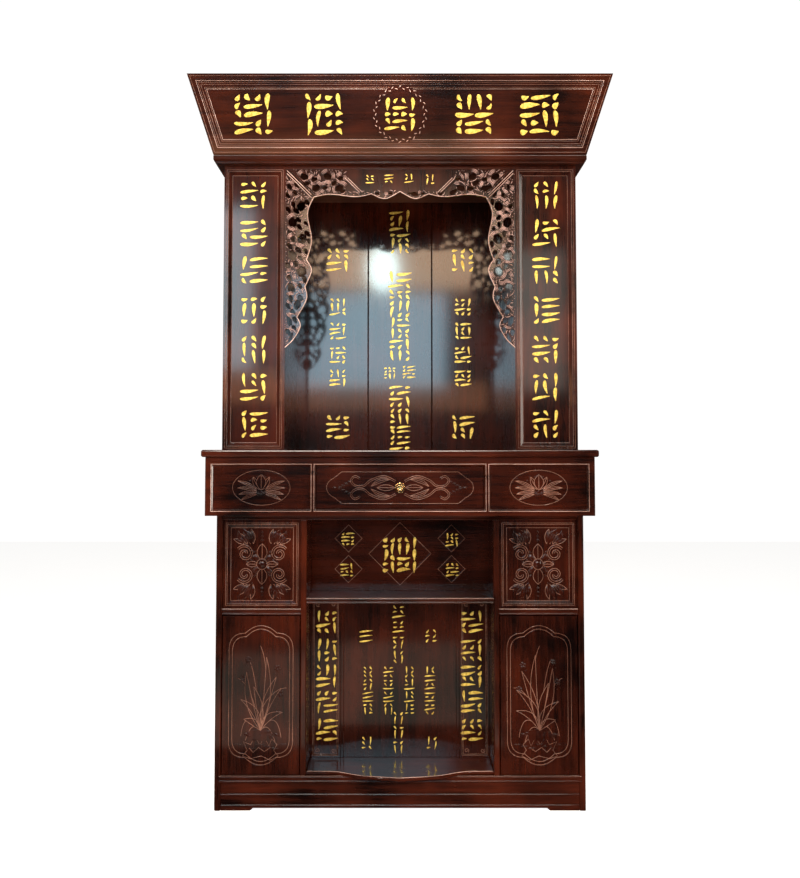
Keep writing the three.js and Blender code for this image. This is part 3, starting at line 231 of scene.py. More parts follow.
gold = metalMaterial("goldLeaf", goldSet, 130.0)
brass = metalMaterial("agedBrass", brassSet, 60.0)
woods = {(kind, axis): woodMaterial(kind, axis) for kind in woodSet for axis in "xyz"}
print("materials made")

# Which way the grain runs, by the start of a node's name; everything else runs upright
grainAcross = ("base_floor", "base_top", "mid_rail", "plinth_rail", "base_board", "recess_shelf",
               "recess_back", "lower_niche_shelf", "tier_", "drawer_", "table_top", "niche_ceiling",
               "head_rail", "fringe_top", "cornice_")
grainDeep = ("tier_side", "cornice_side", "tier_partition", "drawer_side")
kindOfSlot = {"frame_wood": "frame", "panel_wood": "panel", "carved_wood": "carved", "hidden_wood": "hidden"}
# The cornice boards take the cornice copy of the wood, whose tone is painted light and shade
corniceNodes = ("cornice_front", "cornice_band", "cornice_side_left", "cornice_side_right")
roundSet = {"width": 1.3 * mm, "segments": 2, "angle": 32}


def dressFrame():
    slots = {part["node"]: part["material_slot"] for part in frame["record"]["subparts"]}
    for name, solid in frame["nodes"].items():
        slot = slots[name]
        axis = "y" if name.startswith(grainDeep) else "x" if name.startswith(grainAcross) else "z"
        kind = "cornice" if name in corniceNodes else kindOfSlot.get(slot)
        material = brass if slot == "brass" else woods[kind, axis]
        solid.data.materials.clear()
        solid.data.materials.append(material)
        weld = solid.modifiers.new("weld", "WELD")
        weld.merge_threshold = 0.00002
        # The cornice front has long thin triangles, which would show as streaks if rounded
        if slot != "hidden_wood" and name != "cornice_front":
            edge = solid.modifiers.new("edge", "BEVEL")
            edge.width, edge.segments = roundSet["width"], roundSet["segments"]
            edge.limit_method, edge.angle_limit = "ANGLE", math.radians(roundSet["angle"])
            edge.harden_normals = True


dressFrame()
print("frame dressed")


# An object that rides on a body
def addPiece(name, data, material, body):
    data.materials.append(material)
    piece = bpy.data.objects.new(name, data)
    scene.collection.objects.link(piece)
    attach(piece, body)
    return piece


def finish(name, bm, material, body="carcass", smooth=True):
    mesh = bpy.data.meshes.new(name)
    bmesh.ops.recalc_face_normals(bm, faces=bm.faces)
    bm.to_mesh(mesh)
    bm.free()
    for face in mesh.polygons:
        face.use_smooth = smooth
    return addPiece(name, mesh, material, body)


# Round beads along runs of points, all in one curve object
def beads(name, runs, radius, material, body="carcass", sides=2):
    data = bpy.data.curves.new(name, "CURVE")
    data.dimensions = "3D"
    data.bevel_depth, data.bevel_resolution, data.use_fill_caps = radius, sides, True
    for points, closed in runs:
        spline = data.splines.new("POLY")
        spline.points.add(len(points) - 1)
        for knot, point in zip(spline.points, points):
            knot.co = (*point, 1)
        spline.use_cyclic_u = closed
    addPiece(name, data, material, body)


# A drawing plane: a middle, a way across and a way up; out is the way it faces
class Plane:
    def __init__(self, middle, up=(0, 0, 1), out=(0, -1, 0)):
        self.middle, self.up, self.out = Vector(middle), Vector(up).normalized(), Vector(out).normalized()
        self.across = self.up.cross(self.out)

    def at(self, u, v, lift=0.0):
        return self.middle + self.across * u + self.up * v + self.out * lift

    def matrix(self, u, v, turn=0.0, lift=0.0):
        basis = Matrix((self.across, self.up, self.out)).transposed().to_4x4()
        return Matrix.Translation(self.at(u, v, lift)) @ basis @ Matrix.Rotation(turn, 4, "Z")


strokeSet = {"lift": 0.7 * mm, "corners": 14, "thick": 0.175}


# One brush-like stroke: a flat drop that tapers to its far end and bows a little
def addStroke(bm, plane, u, v, turn, length, width, bow):
    made = bmesh.ops.create_circle(bm, cap_ends=True, radius=0.5, segments=strokeSet["corners"])
    verts = made["verts"]
    for vert in verts:
        share = vert.co.x + 0.5
        vert.co.y *= width * (1.15 - 0.85 * share)
        vert.co.y += bow * math.sin(math.pi * share)
        vert.co.x *= length
    faces = list({face for vert in verts for face in vert.link_faces})
    raised = bmesh.ops.extrude_face_region(bm, geom=faces)
    top = [item for item in raised["geom"] if isinstance(item, bmesh.types.BMVert)]
    bmesh.ops.scale(bm, verts=top, vec=(0.93, 0.8, 1))
    bmesh.ops.translate(bm, verts=top, vec=(0, 0, strokeSet["lift"] * 2))
    bmesh.ops.transform(bm, matrix=plane.matrix(u, v, turn, -strokeSet["lift"]), verts=verts + top)


# A cluster of strokes that fills a square: each cell or pair of cells takes one stroke, and none cross
def strokeCluster(bm, plane, u, v, size, rng, cells=3):
    step = size / cells
    free = {(i, j) for i in range(cells) for j in range(cells + 1)}
    rise = size / (cells + 1)
    thick = size * min(strokeSet["thick"], 0.85 / (cells + 1))
    while free:
        cell = sorted(free)[rng.randrange(len(free))]
        free.discard(cell)
        sideways = (cell[0] + 1, cell[1])
        above = (cell[0], cell[1] + 1)
        span, turn = (1, rng.choice((0.15, 0.9, -0.9)))
        middle = [cell[0] + 0.5, cell[1] + 0.5]
        if sideways in free and rng.random() < 0.62:
            free.discard(sideways)
            span, turn = 2, rng.uniform(0.02, 0.2)
            middle[0] += 0.5
        elif above in free and rng.random() < 0.8:
            free.discard(above)
            span, turn = 2, -math.pi / 2 + rng.uniform(-0.2, 0.2)
            middle[1] += 0.5
        reach = (rise if abs(turn) > 1 else step) * span
        if span == 1:
            reach = min(rise, step) * 0.95
        addStroke(bm, plane, u - size / 2 + middle[0] * step, v - size / 2 + middle[1] * rise, turn, reach,
                  thick * rng.uniform(0.75, 1.1), size * rng.uniform(-0.035, 0.035))


def goldStrokes(name, plane, places, cells=3):
    rng = random.Random(name)
    bm = bmesh.new()
    for u, v, size in places:
        strokeCluster(bm, plane, u, v, size, rng, cells)
    finish(name, bm, gold, smooth=False)


# The cornice's gold: how far across, and its size, in metres
cornicePlaces = [(-0.488, 0.134), (-0.253, 0.136), (0.0, 0.108), (0.247, 0.13), (0.466, 0.138)]


def photoHeight(row, planeY):
    depth = planeY - cameraSet["place"][1]
    above = math.atan((cameraSet["centreRow"] - row) / cameraSet["focalPixels"])
    return cameraSet["place"][2] + depth * math.tan(above + math.radians(cameraSet["pitch"]))


def photoAcross(column, row, planeY):
    depth = planeY - cameraSet["place"][1]
    rise = photoHeight(row, planeY) - cameraSet["place"][2]
    pitch = math.radians(cameraSet["pitch"])
    away = depth * math.cos(pitch) + rise * math.sin(pitch)
    return (column - cameraSet["centreColumn"]) * away / cameraSet["focalPixels"]


def uprightPlane(planeY):
    return Plane((0, planeY, 0))


# Gold on an upright face, at places picked in the photograph as column, row and size in pixels
def goldOn(name, planeY, picks, cells=3):
    scale = (planeY - cameraSet["place"][1]) / cameraSet["focalPixels"]
    places = [(photoAcross(column, row, planeY), photoHeight(row, planeY), size * scale)
              for column, row, size in picks]
    goldStrokes(name, uprightPlane(planeY), places, cells)


def addGold():
    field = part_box("pilaster_right")[0].y + 8 * mm
    for side, column in (("left", 254), ("right", 546)):
        picks = [(column, row, 29) for row in (195, 233, 270, 310, 349.5, 387, 424)]
        goldOn(f"gold_pilaster_{side}", field, picks)
    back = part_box("niche_back_centre")[0].y
    centre = [(400, 221, 23), (400, 243, 22), (400, 283, 25), (400, 306, 24), (400, 328, 22), (400, 350, 23),
              (390, 373, 13), (409, 372, 14), (400, 396, 23), (400, 419, 22), (400, 440, 22)]
    goldOn("gold_niche_centre", back, centre)
    for side, column in (("left", 338), ("right", 463)):
        rows = [(260, 25), (307, 18), (331, 18), (355, 18), (378, 18), (427, 25)]
        picks = [(column, row, size) for row, size in rows]
        goldOn(f"gold_niche_{side}", back, picks)
    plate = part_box("fringe_top")[0].y + 4.5 * mm
    small = [(370, 179.5, 10), (389, 178.5, 10), (409, 178.5, 10), (430, 179.5, 11)]
    goldOn("gold_fringe_plate", plate, small, cells=2)
    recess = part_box("recess_back")[0].y
    diamonds = [(348, 539, 14), (347, 570, 14), (452, 540, 14), (452.5, 570, 14)]
    goldOn("gold_recess_small", recess, diamonds)
    goldOn("gold_recess_large", recess, [(400, 555, 36)], cells=5)
    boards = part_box("lower_niche_board_right")[0].y
    for side, column in (("left", 327), ("right", 472)):
        picks = [(column, row, 23) for row in (622, 650, 676, 702, 730)]
        goldOn(f"gold_board_{side}", boards, picks)
    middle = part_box("lower_niche_centre")[0].y + 5 * mm
    picks = [(398.5, 612, 14), (398.5, 627, 13), (398.5, 642, 14), (398.5, 657, 13), (398.5, 718, 13),
             (398.5, 732, 13), (398.5, 747, 13), (366, 636, 14), (431, 636, 14), (367, 743, 13),
             (432, 743, 13)]
    picks += [(column, row, 11.5) for column in (368, 388.5, 409.5, 430)
              for row in (672, 684.5, 697, 709)]
    goldOn("gold_lower_centre", middle, picks, cells=2)


# The cornice's sloping face, seen square on
def cornicePlane():
    low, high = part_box("cornice_front")
    topFront, flareBottom = low.y, low.z
    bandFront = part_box("cornice_band")[0].y
    slope = Vector((0, topFront - bandFront, high.z - flareBottom))
    out = Vector((0, -slope.z, slope.y))
    return Plane((0, bandFront, flareBottom), slope, out), slope.length


def addCorniceGold():
    plane, slope = cornicePlane()
    places = [(across, slope * 0.5, size) for across, size in cornicePlaces]
    goldStrokes("gold_cornice", Plane(plane.at(0, 0, -4 * mm), plane.up, plane.out), places, cells=4)


addGold()
addCorniceGold()
print("gold strokes laid")


# Outlines in a drawing plane, as two-part vectors in metres
def quad(start, pull, end, steps=8):
    a, c, b = Vector(start), Vector(pull), Vector(end)
    return [a.lerp(c, i / steps).lerp(c.lerp(b, i / steps), i / steps) for i in range(steps + 1)]


def catmull(knots, steps):
    points = [Vector(knot) for knot in knots]
    ends = [points[0], *points, points[-1]]
    run = []
    for a, b, c, d in zip(ends, ends[1:], ends[2:], ends[3:]):
        for i in range(steps):
            t = i / steps
            run.append(0.5 * (2 * b + (c - a) * t + (2 * a - 5 * b + 4 * c - d) * t * t
                              + (3 * b - a - 3 * c + d) * t ** 3))
    return run + [points[-1]]


# A place on a circle
def around(angle, radius, u=0.0, v=0.0):
    return u + radius * math.cos(angle), v + radius * math.sin(angle)


def spiral(middle, startRadius, endRadius, startAngle, turns, steps=26):
    run = []
    for i in range(steps + 1):
        share = i / steps
        radius = startRadius + (endRadius - startRadius) * share
        angle = startAngle + 2 * math.pi * turns * share
        run.append(Vector(around(angle, radius, *middle)))
    return run


def shifted(run, distance):
    moved = []
    for i, point in enumerate(run):
        along = run[min(i + 1, len(run) - 1)] - run[max(i - 1, 0)]
        moved.append(point + Vector((-along.y, along.x)).normalized() * distance)
    return moved


# Both edges and the midrib of a leaf, bowed to one side
def leafRuns(base, tip, width, bow=0.0):
    base, tip = Vector(base), Vector(tip)
    along = tip - base
    across = Vector((-along.y, along.x)).normalized()
    middle = base + along * 0.5
    return [quad(base, middle + across * (bow * along.length + share * width), tip)
            for share in (1, -1, 0)]


def rectangle(halfWidth, halfHeight):
    return [Vector(corner) for corner in ((halfWidth, halfHeight), (-halfWidth, halfHeight),
                                          (-halfWidth, -halfHeight), (halfWidth, -halfHeight))]


def ring(halfWidth, halfHeight, steps=56):
    angles = [2 * math.pi * i / steps for i in range(steps)]
    return [Vector((halfWidth * math.cos(angle), halfHeight * math.sin(angle))) for angle in angles]


def fourWays(quarter):
    back = quarter[::-1]
    return (quarter + [Vector((-p.x, p.y)) for p in back[1:]] + [Vector((-p.x, -p.y)) for p in quarter[1:]]
            + [Vector((p.x, -p.y)) for p in back[1:-1]])


def onPlane(plane, run, lift=0.0, closed=False):
    return [plane.at(point.x, point.y, lift) for point in run], closed


# A leaf's lines on a plane
def leafLines(plane, lift, *leaf):
    return [onPlane(plane, run, lift) for run in leafRuns(*leaf)]


lumpMesh = bpy.data.meshes.new("lump")


# A carved lump: a ball drawn out along its length, bowed, pointed at one end and creased along its middle
def addLump(bm, plane, u, v, length, width, turn=0.0, height=3 * mm, bow=0.0, crease=0.0, point=0.35,
            fine=8):
    lump = bmesh.new()
    bmesh.ops.create_uvsphere(lump, u_segments=fine, v_segments=fine - 2, radius=1.0)
    for vert in lump.verts:
        s, across, lift = vert.co
        lift -= crease * max(0.0, 1 - abs(across) * 3) if lift > 0 else 0.0
        across *= (1 - point * s) * width / 2
        vert.co = (s * length / 2, across + bow * (1 - s * s), lift * height)
    bmesh.ops.transform(lump, matrix=plane.matrix(u, v, turn), verts=lump.verts)
    lump.to_mesh(lumpMesh)
    lump.free()
    bm.from_mesh(lumpMesh)


def addBlossom(bm, plane, u, v, radius, petals=5, height=3 * mm, turn=0.0):
    for i in range(petals):
        angle = turn + 2 * math.pi * i / petals
        addLump(bm, plane, *around(angle, 0.55 * radius, u, v), radius, 0.75 * radius, angle, height,
                crease=0.3, point=-0.3)
    addLump(bm, plane, u, v, 0.5 * radius, 0.5 * radius, 0, height * 1.35, point=0)


# A plane over the middle of a node, sunk behind its front or another node's, and the node's half sizes
def faceOf(node, sink=0.0, frontNode=None):
    low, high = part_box(node)
    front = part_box(frontNode or node)[0].y
    plane = Plane(((low.x + high.x) / 2, front + sink, (low.z + high.z) / 2))
    return plane, (high.x - low.x) / 2, (high.z - low.z) / 2


# Doors: the double outline, the orchid's leaf edges, its flowers and the rock, the lines drawn as beads in
# the pale edge wood as painted highlights
doorSet = {
    "relief": 2.5 * mm, "side": 18 * mm, "top": 28 * mm, "corner": 54 * mm, "lobeHalf": 52 * mm,
    "lobeRise": 24 * mm, "band": 14 * mm, "groove": 2.5 * mm, "leaf": 20 * mm, "bead": 0.85 * mm,
    "plants": {
        "right": [(1.07, -0.11, 0.1), (0.88, 0.4, -0.12), (0.57, -0.68, -0.25), (0.84, -0.53, -0.08),
                  (0.41, 0.58, 0.3), (0.28, -0.7, -0.35), (0.15, 0.49, 0.3), (0.67, 0.28, 0.1)],
        "left": [(1.04, 0.17, -0.1), (0.83, -0.43, 0.14), (0.6, 0.62, 0.22), (0.76, 0.47, 0.1),
                 (0.44, -0.6, -0.28), (0.26, 0.66, 0.35), (0.16, -0.51, -0.3), (0.62, -0.21, -0.12)],
    },
    "arcs": [((-0.04, 0.05), (-0.5, 0.3), (-0.62, -0.1)), ((0.04, 0.05), (0.5, 0.32), (0.6, -0.08)),
             ((-0.03, 0.1), (-0.36, 0.62), (-0.78, 0.6)), ((0.05, 0.1), (0.3, 0.66), (0.7, 0.74)),
             ((-0.02, 0.1), (-0.3, 0.9), (0.02, 1.2)), ((0.03, 0.1), (0.16, 0.8), (0.34, 0.98)),
             ((-0.05, 0.02), (-0.26, 0.12), (-0.44, -0.16)), ((0.05, 0.02), (0.28, 0.14), (0.46, -0.14))],
    "rocks": [[(-0.5, -0.2), (-0.34, -0.12), (-0.26, -0.22), (-0.12, -0.1), (0.02, -0.2), (0.16, -0.09),
               (0.3, -0.2), (0.52, -0.16), (0.4, -0.28), (0.54, -0.36), (0.3, -0.4), (-0.02, -0.36),
               (-0.3, -0.42), (-0.54, -0.36), (-0.4, -0.28), (-0.5, -0.2)],
              [(-0.3, -0.24), (-0.12, -0.3), (0.06, -0.24), (0.22, -0.31), (0.34, -0.25)]],
    "flowers": {"right": [(-0.5, 0.42), (0.55, 0.18), (0.42, 0.46), (-0.62, 0.08)],
                "left": [(0.5, 0.38), (-0.55, 0.24), (-0.38, 0.5), (0.6, 0.02)]},
}


def doorOutline(halfWidth, halfHeight, inset):
    look = doorSet
    corner, lobeHalf = look["corner"] - inset / 2, look["lobeHalf"] - inset / 3
    width, height = halfWidth - inset, halfHeight - inset
    shoulder = height - look["lobeRise"]
    quarter = [Vector((width, 0)), *quad((width, shoulder - corner), (width, shoulder), (lobeHalf, shoulder)),
               *quad((lobeHalf, shoulder), (lobeHalf / 2, height), (0, height))[1:]]
    return fourWays(quarter)


def carveDoor(side):
    look = doorSet
    plane, doorHalf, tall = faceOf(f"door_{side}", look["relief"])
    halfWidth, halfHeight = doorHalf - look["side"], tall - look["top"]
    runs = [onPlane(plane, doorOutline(halfWidth, halfHeight, inset), 0, True)
            for inset in (look["groove"] + 0.3 * mm, look["band"] - 0.3 * mm)]
    root = -halfHeight / 2
    for rise, reach, bow in look["plants"][side]:
        tip = (reach * halfWidth, root + rise * halfHeight)
        runs += leafLines(plane, look["relief"] - 0.3 * mm, (0, root), tip, look["leaf"], bow)[:2]
    mirror = 1 if side == "right" else -1
    for start, pull, end in look["arcs"]:
        points = [(mirror * u * halfWidth, root + v * halfHeight) for u, v in (start, pull, end)]
        runs.append(onPlane(plane, quad(*points, 12)))
    for rock in look["rocks"]:
        points = [Vector((mirror * u * halfWidth, root + v * halfHeight)) for u, v in rock]
        runs.append(onPlane(plane, points))
    body = f"{side}_door"
    beads(f"door_lines_{side}", runs, look["bead"], woods["edge", "z"], body)
    bm = bmesh.new()
    rng = random.Random(side)
    for u, v in look["flowers"][side]:
        addBlossom(bm, plane, u * halfWidth, v * halfHeight, 11 * mm, 5, 2.4 * mm, rng.uniform(0, 1))
        for i in range(3):
            addLump(bm, plane, u * halfWidth + (i - 1) * 9 * mm, v * halfHeight - (17 + i % 2 * 5) * mm,
                    4 * mm, 3.4 * mm, 0, 1.8 * mm, point=0)
    for i in range(26):
        across = rng.uniform(-1, 1)
        up = root - 14 * mm + rng.uniform(-18, 14) * mm * (1 - across ** 2)
        addLump(bm, plane, across * 0.5 * halfWidth, up, rng.uniform(12, 22) * mm, rng.uniform(7, 11) * mm,
                rng.uniform(-0.6, 0.6), 3.2 * mm, crease=0.2)
    for i in range(7):
        addLump(bm, plane, (i - 3) * 0.22 * halfWidth, root - 44 * mm - (i % 3) * 6 * mm, 30 * mm, 3 * mm,
                rng.uniform(-0.12, 0.12), 1.8 * mm)
    finish(f"door_carving_{side}", bm, woods["panel", "z"], body)


for side in ("left", "right"):
    carveDoor(side)
print("doors carved")


# Side panels, sunk behind the posts: spirals, petals, feathered corners, a boss, and lines round the field,
# the lines drawn as beads in the pale edge wood as painted highlights
panelSet = {"sink": 11 * mm, "border": 26 * mm, "bead": 0.8 * mm}


def carveSidePanel(side):
    look = panelSet
    plane, w, h = faceOf(f"carved_panel_{side}", look["sink"], "base_side_right")
    w, h = w - look["border"], h - look["border"]
    top = 2.5 * mm
    runs = [onPlane(plane, rectangle(w + grow, h + grow), lift, True)
            for grow, lift in ((0.3 * mm, 0.2 * mm), (11.5 * mm, 3 * mm), (16 * mm, 3 * mm))]
    bm = bmesh.new()
    for sx in (-1, 1):
        for sz in (-1, 1):
            start = math.pi / 2 - sx * math.pi / 2 + sx * sz * 0.6
            curl = spiral((sx * 0.55 * w, sz * 0.29 * h), 0.27 * w, 0.05 * w, start, sx * sz * 1.4)
            runs += [onPlane(plane, shifted(curl, offset), top) for offset in (-3.2 * mm, 3.2 * mm)]
            for i in range(7):
                share = i / 6
                foot = Vector((sx * (0.28 + 0.3 * share) * w, sz * (0.56 - 0.02 * share) * h))
                tip = Vector((sx * (0.36 + 0.56 * share) * w, sz * (0.97 - 0.28 * share ** 2) * h))
                along = tip - foot
                middle = (tip + foot) / 2
                if i % 2 == 0:
                    runs += leafLines(plane, 1.4 * mm, foot, tip, 13 * mm, sx * sz * 0.12)[:2]
                addLump(bm, plane, *middle, along.length, 8.5 * mm, math.atan2(along.y, along.x), 4 * mm,
                        bow=sx * sz * 3 * mm, crease=0.35)
            for i in range(4):
                angle = start + sx * sz * (2.4 + 0.5 * i)
                addLump(bm, plane, *around(angle, 0.3 * w, sx * 0.55 * w, sz * 0.29 * h), 13 * mm, 6 * mm,
                        angle + 0.7 * sx * sz, 3.4 * mm, crease=0.2)
        runs += leafLines(plane, top, (sx * 0.12 * w, 0), (sx * 0.51 * w, 0), 0.18 * w)
        runs += leafLines(plane, top, (0, sx * 0.1 * h), (0, sx * 0.56 * h), 0.32 * w)
        for i in range(3):
            addLump(bm, plane, 0, sx * (0.66 + 0.11 * i) * h, 10 * mm, (12 - 3 * i) * mm, math.pi / 2, 4 * mm)
    for i in range(4):
        angle = math.pi / 4 + i * math.pi / 2
        addLump(bm, plane, *around(angle, 0.26 * w), 0.36 * w, 0.2 * w, angle, 4.4 * mm,
                crease=0.3, point=-0.2)
    addLump(bm, plane, 0, 0, 0.3 * w, 0.3 * w, 0, 7 * mm, point=0, fine=16)
    runs.append(onPlane(plane, ring(0.17 * w, 0.17 * w, 24), 2.5 * mm, True))
    finish(f"panel_carving_{side}", bm, woods["panel", "z"])
    beads(f"panel_lines_{side}", runs, look["bead"], woods["edge", "z"])


for side in ("left", "right"):
    carveSidePanel(side)
print("side panels carved")


# Drawer front: its outline, C-scrolls with curled ends, leaf loops and beads round the knob; the carved lines
# are beads in the pale edge wood, painted highlights
drawerSet = {
    "sink": 4 * mm, "halfWidth": 238 * mm, "halfHeight": 53 * mm, "tip": 48 * mm, "groove": 2.5 * mm,
    "bead": 0.75 * mm, "collar": 15 * mm, "collarBead": 1.6 * mm,
    "scroll": [(0.06, 0.38), (0.22, 0.68), (0.39, 0.45), (0.49, 0.11), (0.6, 0.11), (0.66, 0.42),
               (0.61, 0.68), (0.55, 0.57)],
}


def drawerOutline(extra):
    look = drawerSet
    w, h = look["halfWidth"] - extra, look["halfHeight"] - extra
    step = (w - look["tip"] / 2, 0.62 * h)
    quarter = [*quad((w, 0), (w, 0.4 * h), step, 5), Vector((w - look["tip"], h)), Vector((0, h))]
    return fourWays(quarter)


def carveDrawer():
    look = drawerSet
    plane = faceOf("drawer_front", look["sink"], "tier_oval_front_right")[0]
    w, h = look["halfWidth"], look["halfHeight"]
    top = 2.5 * mm
    runs = [onPlane(plane, drawerOutline(look["groove"]), 0, True)]
    bm = bmesh.new()
    for sx in (-1, 1):
        for sz in (-1, 1):
            scroll = catmull([(sx * x * w, sz * z * h) for x, z in look["scroll"]], 5)
            runs += [onPlane(plane, shifted(scroll, offset), top) for offset in (-2.6 * mm, 2.6 * mm)]
            runs += leafLines(plane, top, (sx * 0.39 * w, sz * 0.08 * h), (sx * 0.14 * w, sz * 0.49 * h),
                              0.05 * w, -sx * sz * 0.2)
            addLump(bm, plane, *scroll[-1], 8 * mm, 8 * mm, 0, 4.2 * mm, point=0)
            for i in range(4):
                addLump(bm, plane, sx * (0.68 + 0.045 * i) * w, sz * (0.34 - 0.1 * i) * h, 15 * mm, 5 * mm,
                        sz * sx * (0.5 - 0.2 * i), 3 * mm, crease=0.3)
        runs += leafLines(plane, top, (sx * 0.07 * w, 0), (sx * 0.31 * w, 0), 0.08 * w)
        addLump(bm, plane, sx * 0.88 * w, 0, 16 * mm, 6 * mm, 0, 3 * mm)
    finish("drawer_carving", bm, woods["panel", "x"], "drawer")
    beads("drawer_lines", runs, look["bead"], woods["edge", "x"], "drawer")
    collar = [onPlane(plane, ring(look["collar"], look["collar"], 32), 0.8 * mm, True)]
    beads("knob_collar", collar, look["collarBead"], brass, "drawer", 3)


carveDrawer()
print("drawer carved")


# Oval fronts: a ring, leaf strips with midribs, and a lotus with beaded petals; the lines are beads in the
# pale edge wood, painted highlights
ovalSet = {"sink": 4 * mm, "halfWidth": 92 * mm, "halfHeight": 56 * mm, "bead": 0.7 * mm}


def carveOval(side):
    look = ovalSet
    plane = faceOf(f"tier_oval_front_{side}", look["sink"])[0]
    w, h = look["halfWidth"], look["halfHeight"]
    runs = [onPlane(plane, ring(w + 0.3 * mm, h + 0.3 * mm), 0, True)]
    bm = bmesh.new()
    top = 2.5 * mm
    for sign in (-1, 1):
        for i in range(4):
            lean, length, drop = 0.42 - 0.3 * i, (0.63 - 0.04 * i) * w, 0.09 * h * i
            base = (sign * 0.15 * w, -0.11 * h - drop)
            tip = (sign * (0.24 * w + length * math.cos(lean)), length * math.sin(lean) - 0.04 * h - drop)
            runs += leafLines(plane, top, base, tip, 0.1 * w, sign * 0.12)
        runs += leafLines(plane, top, (sign * 0.04 * w, -0.11 * h), (sign * 0.28 * w, 0.61 * h), 0.18 * w,
                          -sign * 0.1)
        for i in range(3):
            addLump(bm, plane, sign * (0.3 + 0.09 * i) * w, (0.52 - 0.12 * i) * h, 7 * mm, 6 * mm, 0,
                    3 * mm, point=0)
    for i in range(5):
        addLump(bm, plane, (i - 2) * 0.07 * w, (0.72 - 0.05 * abs(i - 2)) * h, 6 * mm, 5 * mm, 0,
                5 * mm, point=0)
        addLump(bm, plane, (i - 2) * 0.08 * w, (-0.42 + 0.05 * abs(i - 2)) * h, 22 * mm, 6 * mm,
                math.pi / 2 + 0.3 * (2 - i), 3.8 * mm, crease=0.3)
    runs += leafLines(plane, 1.6 * top, (0, -0.14 * h), (0, 0.75 * h), 0.33 * w)
    finish(f"oval_carving_{side}", bm, woods["panel", "x"])
    beads(f"oval_lines_{side}", runs, look["bead"], woods["edge", "x"])


for side in ("left", "right"):
    carveOval(side)
print("ovals carved")


# Fringe: ribbed leaves round the holes and small knobs between them, with round rims and mitre rods in the
# pale rim wood as painted highlights
fringeSet = {
    "corner": 95 * mm, "drop": 607 * mm, "plateHalf": 182 * mm, "plateTop": 24 * mm, "rodGap": 17 * mm,
    "face": 4 * mm, "grid": 5 * mm, "holePitch": 14 * mm, "holeGap": 24 * mm, "rib": 4.2,
    "fillers": 1500, "spread": 6 * mm, "rimBead": 1.45 * mm, "rodBead": 1.15 * mm,
    "sideEdge": [[(1, 0.1565), (0.78, 0.25), (0.93, 0.4), (0.75, 0.51)],
                 [(0.75, 0.51), (0.93, 0.57), (0.7, 0.66)],
                 [(0.7, 0.66), (0.76, 0.73), (0.42, 0.83)],
                 [(0.42, 0.83), (0.54, 0.88), (0.32, 0.95), (0, 1)]],
    "topEdge": [[(0.2455, 1), (0.39, 0.9), (0.61, 0.99), (0.75, 0.89)],
                [(0.75, 0.89), (0.87, 1.06), (1, 0.8)]],
}


def fringeCurve(runs, inScale, downScale, mouthHalf, headZ, sign):
    edge = []
    for run in runs:
        edge += catmull([(inward * inScale, down * downScale) for inward, down in run], 7)
    return [Vector((sign * (point.x - mouthHalf), headZ - point.y)) for point in edge]


# The mouth's half width, the height of its head, and the fringe's face along Y
def fringeMouth():
    low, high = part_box("head_rail")
    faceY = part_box("pilaster_right")[0].y + fringeSet["face"]
    return high.x, low.z, faceY


def welded(mesh):
    bm = bmesh.new()
    bm.from_mesh(mesh)
    bmesh.ops.remove_doubles(bm, verts=bm.verts, dist=0.00001)
    return bm


def boardTree(mesh):
    bm = welded(mesh)
    tree = BVHTree.FromBMesh(bm)
    bm.free()
    return tree


# The solid's board with small teardrops cut right through it
def pierceBoard(node, spots):
    bm = welded(frame["nodes"][node].data)
    # The board takes the darker cornice wood, so the ground between the carved leaves shows as painted shade
    board = finish(f"{node}_board", bm, woods["cornice", "z"], "carcass", smooth=False)
    cutters = bmesh.new()
    inside = uprightPlane(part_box(node)[0].y + 9 * mm)
    for x, z, turn, length in spots:
        addLump(cutters, inside, x, z, length, 0.55 * length, turn, 30 * mm, fine=10)
    mesh = bpy.data.meshes.new("cutters")
    cutters.to_mesh(mesh)
    cutters.free()
    tool = bpy.data.objects.new("cutters", mesh)
    scene.collection.objects.link(tool)
    cut = board.modifiers.new("cut", "BOOLEAN")
    cut.operation, cut.object, cut.solver, cut.use_self = "DIFFERENCE", tool, "EXACT", True
    graph = bpy.context.evaluated_depsgraph_get()
    pierced = bpy.data.meshes.new_from_object(board.evaluated_get(graph))
    board.modifiers.clear()
    board.data = pierced
    bpy.data.objects.remove(tool)
    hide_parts(node)


# Middles and rough radii of the holes that go right through a board, found on a fine grid
def holesIn(tree, low, high):
    step = fringeSet["grid"]
    columns, rows = int((high.x - low.x) / step) + 3, int((high.z - low.z) / step) + 3
    spots = {(i, j): Vector((low.x + (i - 1) * step, low.z + (j - 1) * step))
             for i in range(columns) for j in range(rows)}
    blank = {cell for cell, spot in spots.items() if frontOf(tree, low, spot) is None}
    holes = []
    while blank:
        edge, cells = [blank.pop()], []
        while edge:
            i, j = edge.pop()
            cells.append((i, j))
            for near in ((i + 1, j), (i - 1, j), (i, j + 1), (i, j - 1)):
                if near in blank:
                    blank.discard(near)
                    edge.append(near)
        if not any(i in (0, columns - 1) or j in (0, rows - 1) for i, j in cells):
            middle = sum((spots[cell] for cell in cells), Vector((0, 0))) / len(cells)
            holes.append((middle, step * math.sqrt(len(cells) / math.pi)))
    return sorted(holes, key=lambda hole: (hole[0].y, hole[0].x))


# Where a look from the front first meets a board, or nothing
def frontOf(tree, low, spot):
    hit = tree.ray_cast(Vector((spot.x, low.y - 0.05, spot.y)), Vector((0, 1, 0)))[0]
    return None if hit is None else hit.y


